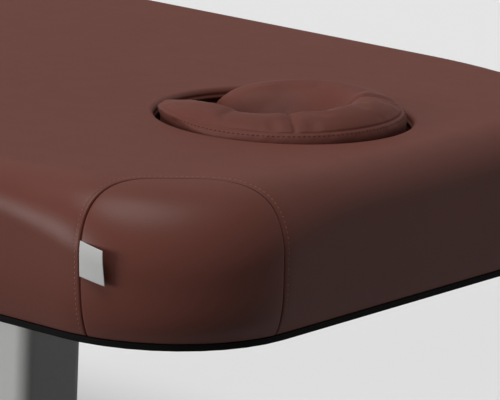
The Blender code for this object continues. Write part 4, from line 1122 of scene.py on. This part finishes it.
cushion_mesh.vertices.foreach_set("co", swollen.astype(np.float32).ravel())

smoother = cushion_form.modifiers.new("fine", "SUBSURF")
smoother.levels = 2
graph = bpy.context.evaluated_depsgraph_get()
fine = bpy.data.meshes.new_from_object(
    cushion_form.evaluated_get(graph), preserve_all_data_layers=True, depsgraph=graph
)
bpy.data.objects.remove(cushion_form)
form = bmesh.new()
form.from_mesh(fine)
form.normal_update()
weights = form.verts.layers.deform.verify()
CUSHION_GROOVE = 0.0014
CUSHION_GROOVE_REACH = 0.3  # how far the groove spreads, in cells of the form
shifts = []
for vert in form.verts:
    share = vert[weights].get(seam_group, 0)
    groove = CUSHION_GROOVE * math.exp(-(((1 - share) / CUSHION_GROOVE_REACH) ** 2))
    shifts.append((vert, vert.normal * -groove))
for vert, shift in shifts:
    vert.co += shift
form.verts.layers.deform.remove(weights)
# The face cushion's vinyl is the mattress's vinyl made duller, and its colour is painted darker: painted
# shade for the shade that falls on the cushion in its recess.
SHADED_VINYL_TONE = (0.105, 0.032, 0.0235)
SHADED_VINYL_TONE_DEEP = (0.099, 0.030, 0.022)
dull_vinyl_painted_shade = vinyl_finish("dull_vinyl_painted_shade", satin=0.56, light=SHADED_VINYL_TONE, deep=SHADED_VINYL_TONE_DEEP)
cushion = new_piece("face_cushion_pad", form, dull_vinyl_painted_shade, "face_cushion")
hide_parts("face_cushion")

# Boxing stitching
# A row of dark thread on the boxing strip, just under the seam round the rim of the face cushion.
# It is sewn through the strip by machine and holds the seam allowance down behind it.

dark_thread = thread("dark_thread", (0.03, 0.011, 0.009), (0.045, 0.017, 0.014), roughness=0.7)
BOXING_STITCH_SHARE = 1.1  # of the way from the seam to the next row of the form below it
BOXING_STITCH_LENGTH = 0.0028
BOXING_THREAD = 0.0010
seam_row = cushion_grid[TIP_RINGS:-TIP_RINGS, RIM_ROW]
row_below = cushion_grid[TIP_RINGS:-TIP_RINGS, RIM_ROW - 1]
boxing_path = seam_row + BOXING_STITCH_SHARE * (row_below - seam_row)
form = bmesh.new()
sew(form, skin_of(cushion), boxing_path, STITCH_PITCH, BOXING_STITCH_LENGTH, BOXING_THREAD)
new_piece("boxing_stitches", form, dark_thread, "face_cushion")

# Floor, light and camera
# A plain pale floor, one large softbox above and one low on the left, and a weak even light all round.
# The camera stands off the near head corner with a long lens.

FLOOR_REACH = 40
floor_form = bmesh.new()
bmesh.ops.create_grid(floor_form, x_segments=1, y_segments=1, size=FLOOR_REACH)
floor_mesh = bpy.data.meshes.new("floor")
floor_form.to_mesh(floor_mesh)
floor_form.free()
floor = bpy.data.objects.new("floor", floor_mesh)
bpy.context.scene.collection.objects.link(floor)
floor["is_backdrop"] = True


def seen_directly(tree):
    """1 where the camera, a reflection or a view through glass looks at the surface, and otherwise 0."""
    ray = add(tree, "ShaderNodeLightPath").outputs
    seen = math_node(tree, "MAXIMUM", ray["Is Camera Ray"], ray["Is Glossy Ray"])
    return math_node(tree, "MAXIMUM", seen, ray["Is Transmission Ray"])


FLOOR_SEEN = (0.92, 0.92, 0.92)
FLOOR_BOUNCE = (0.03, 0.0295, 0.029)
floor_finish, tree, shader = new_finish("floor", specular=0.0, Roughness=0.9)
tree.links.new(mix_colour(tree, seen_directly(tree), FLOOR_BOUNCE, FLOOR_SEEN), shader["Base Color"])
floor_mesh.materials.append(floor_finish)

AMBIENT = 0.11
WORLD_SEEN = 0.92
world = bpy.data.worlds.new("studio")
bpy.context.scene.world = world
world.use_nodes = True
tree = world.node_tree
background = tree.nodes["Background"]
background.inputs["Color"].default_value = (1, 1, 1, 1)
tree.links.new(spread_to(tree, seen_directly(tree), AMBIENT, WORLD_SEEN), background.inputs["Strength"])


def soft_light(name, come_from, level, spread_angle):
    """A far softbox, given by the share of full daylight that it puts on a surface facing it."""
    lamp = bpy.data.lights.new(name, "SUN")
    lamp.energy = level * math.pi
    lamp.angle = math.radians(spread_angle)
    light = bpy.data.objects.new(name, lamp)
    light.rotation_mode = "QUATERNION"
    light.rotation_quaternion = Vector(come_from).to_track_quat("Z", "Y")
    bpy.context.scene.collection.objects.link(light)


soft_light("softbox_above", come_from=(0.0, -0.33, 0.943), level=0.68, spread_angle=36)
soft_light("softbox_left", come_from=(-0.44, -0.898, 0.10), level=0.80, spread_angle=30)

CAMERA_YAW = math.radians(38.49)
CAMERA_PITCH = math.radians(13.64)
CAMERA_ROLL = math.radians(2.44)
CAMERA_LENS = 295.37  # focal length in millimetres
SENSOR_WIDTH = 36
CAMERA_FROM_HEAD = 2.3423  # past the head end of the mattress
CAMERA_Y = -3.257
CAMERA_ABOVE_TOP = 0.911
cos_yaw, sin_yaw = math.cos(CAMERA_YAW), math.sin(CAMERA_YAW)
cos_pitch, sin_pitch = math.cos(CAMERA_PITCH), math.sin(CAMERA_PITCH)
back = Vector((sin_yaw * cos_pitch, -cos_yaw * cos_pitch, sin_pitch))
right = Vector((cos_yaw, sin_yaw, 0))
above = back.cross(right)
rolled_right = math.cos(CAMERA_ROLL) * right + math.sin(CAMERA_ROLL) * above
rolled_above = -math.sin(CAMERA_ROLL) * right + math.cos(CAMERA_ROLL) * above
lens = bpy.data.cameras.new("camera")
lens.lens = CAMERA_LENS
lens.sensor_width = SENSOR_WIDTH
lens.clip_end = 200
camera = bpy.data.objects.new("camera", lens)
camera.matrix_world = Matrix((rolled_right, rolled_above, back)).transposed().to_4x4()
camera.location = (mattress_high.x + CAMERA_FROM_HEAD, CAMERA_Y, top_z + CAMERA_ABOVE_TOP)
bpy.context.scene.collection.objects.link(camera)
bpy.context.scene.camera = camera

bpy.context.scene.view_settings.view_transform = "Standard"
low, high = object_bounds()
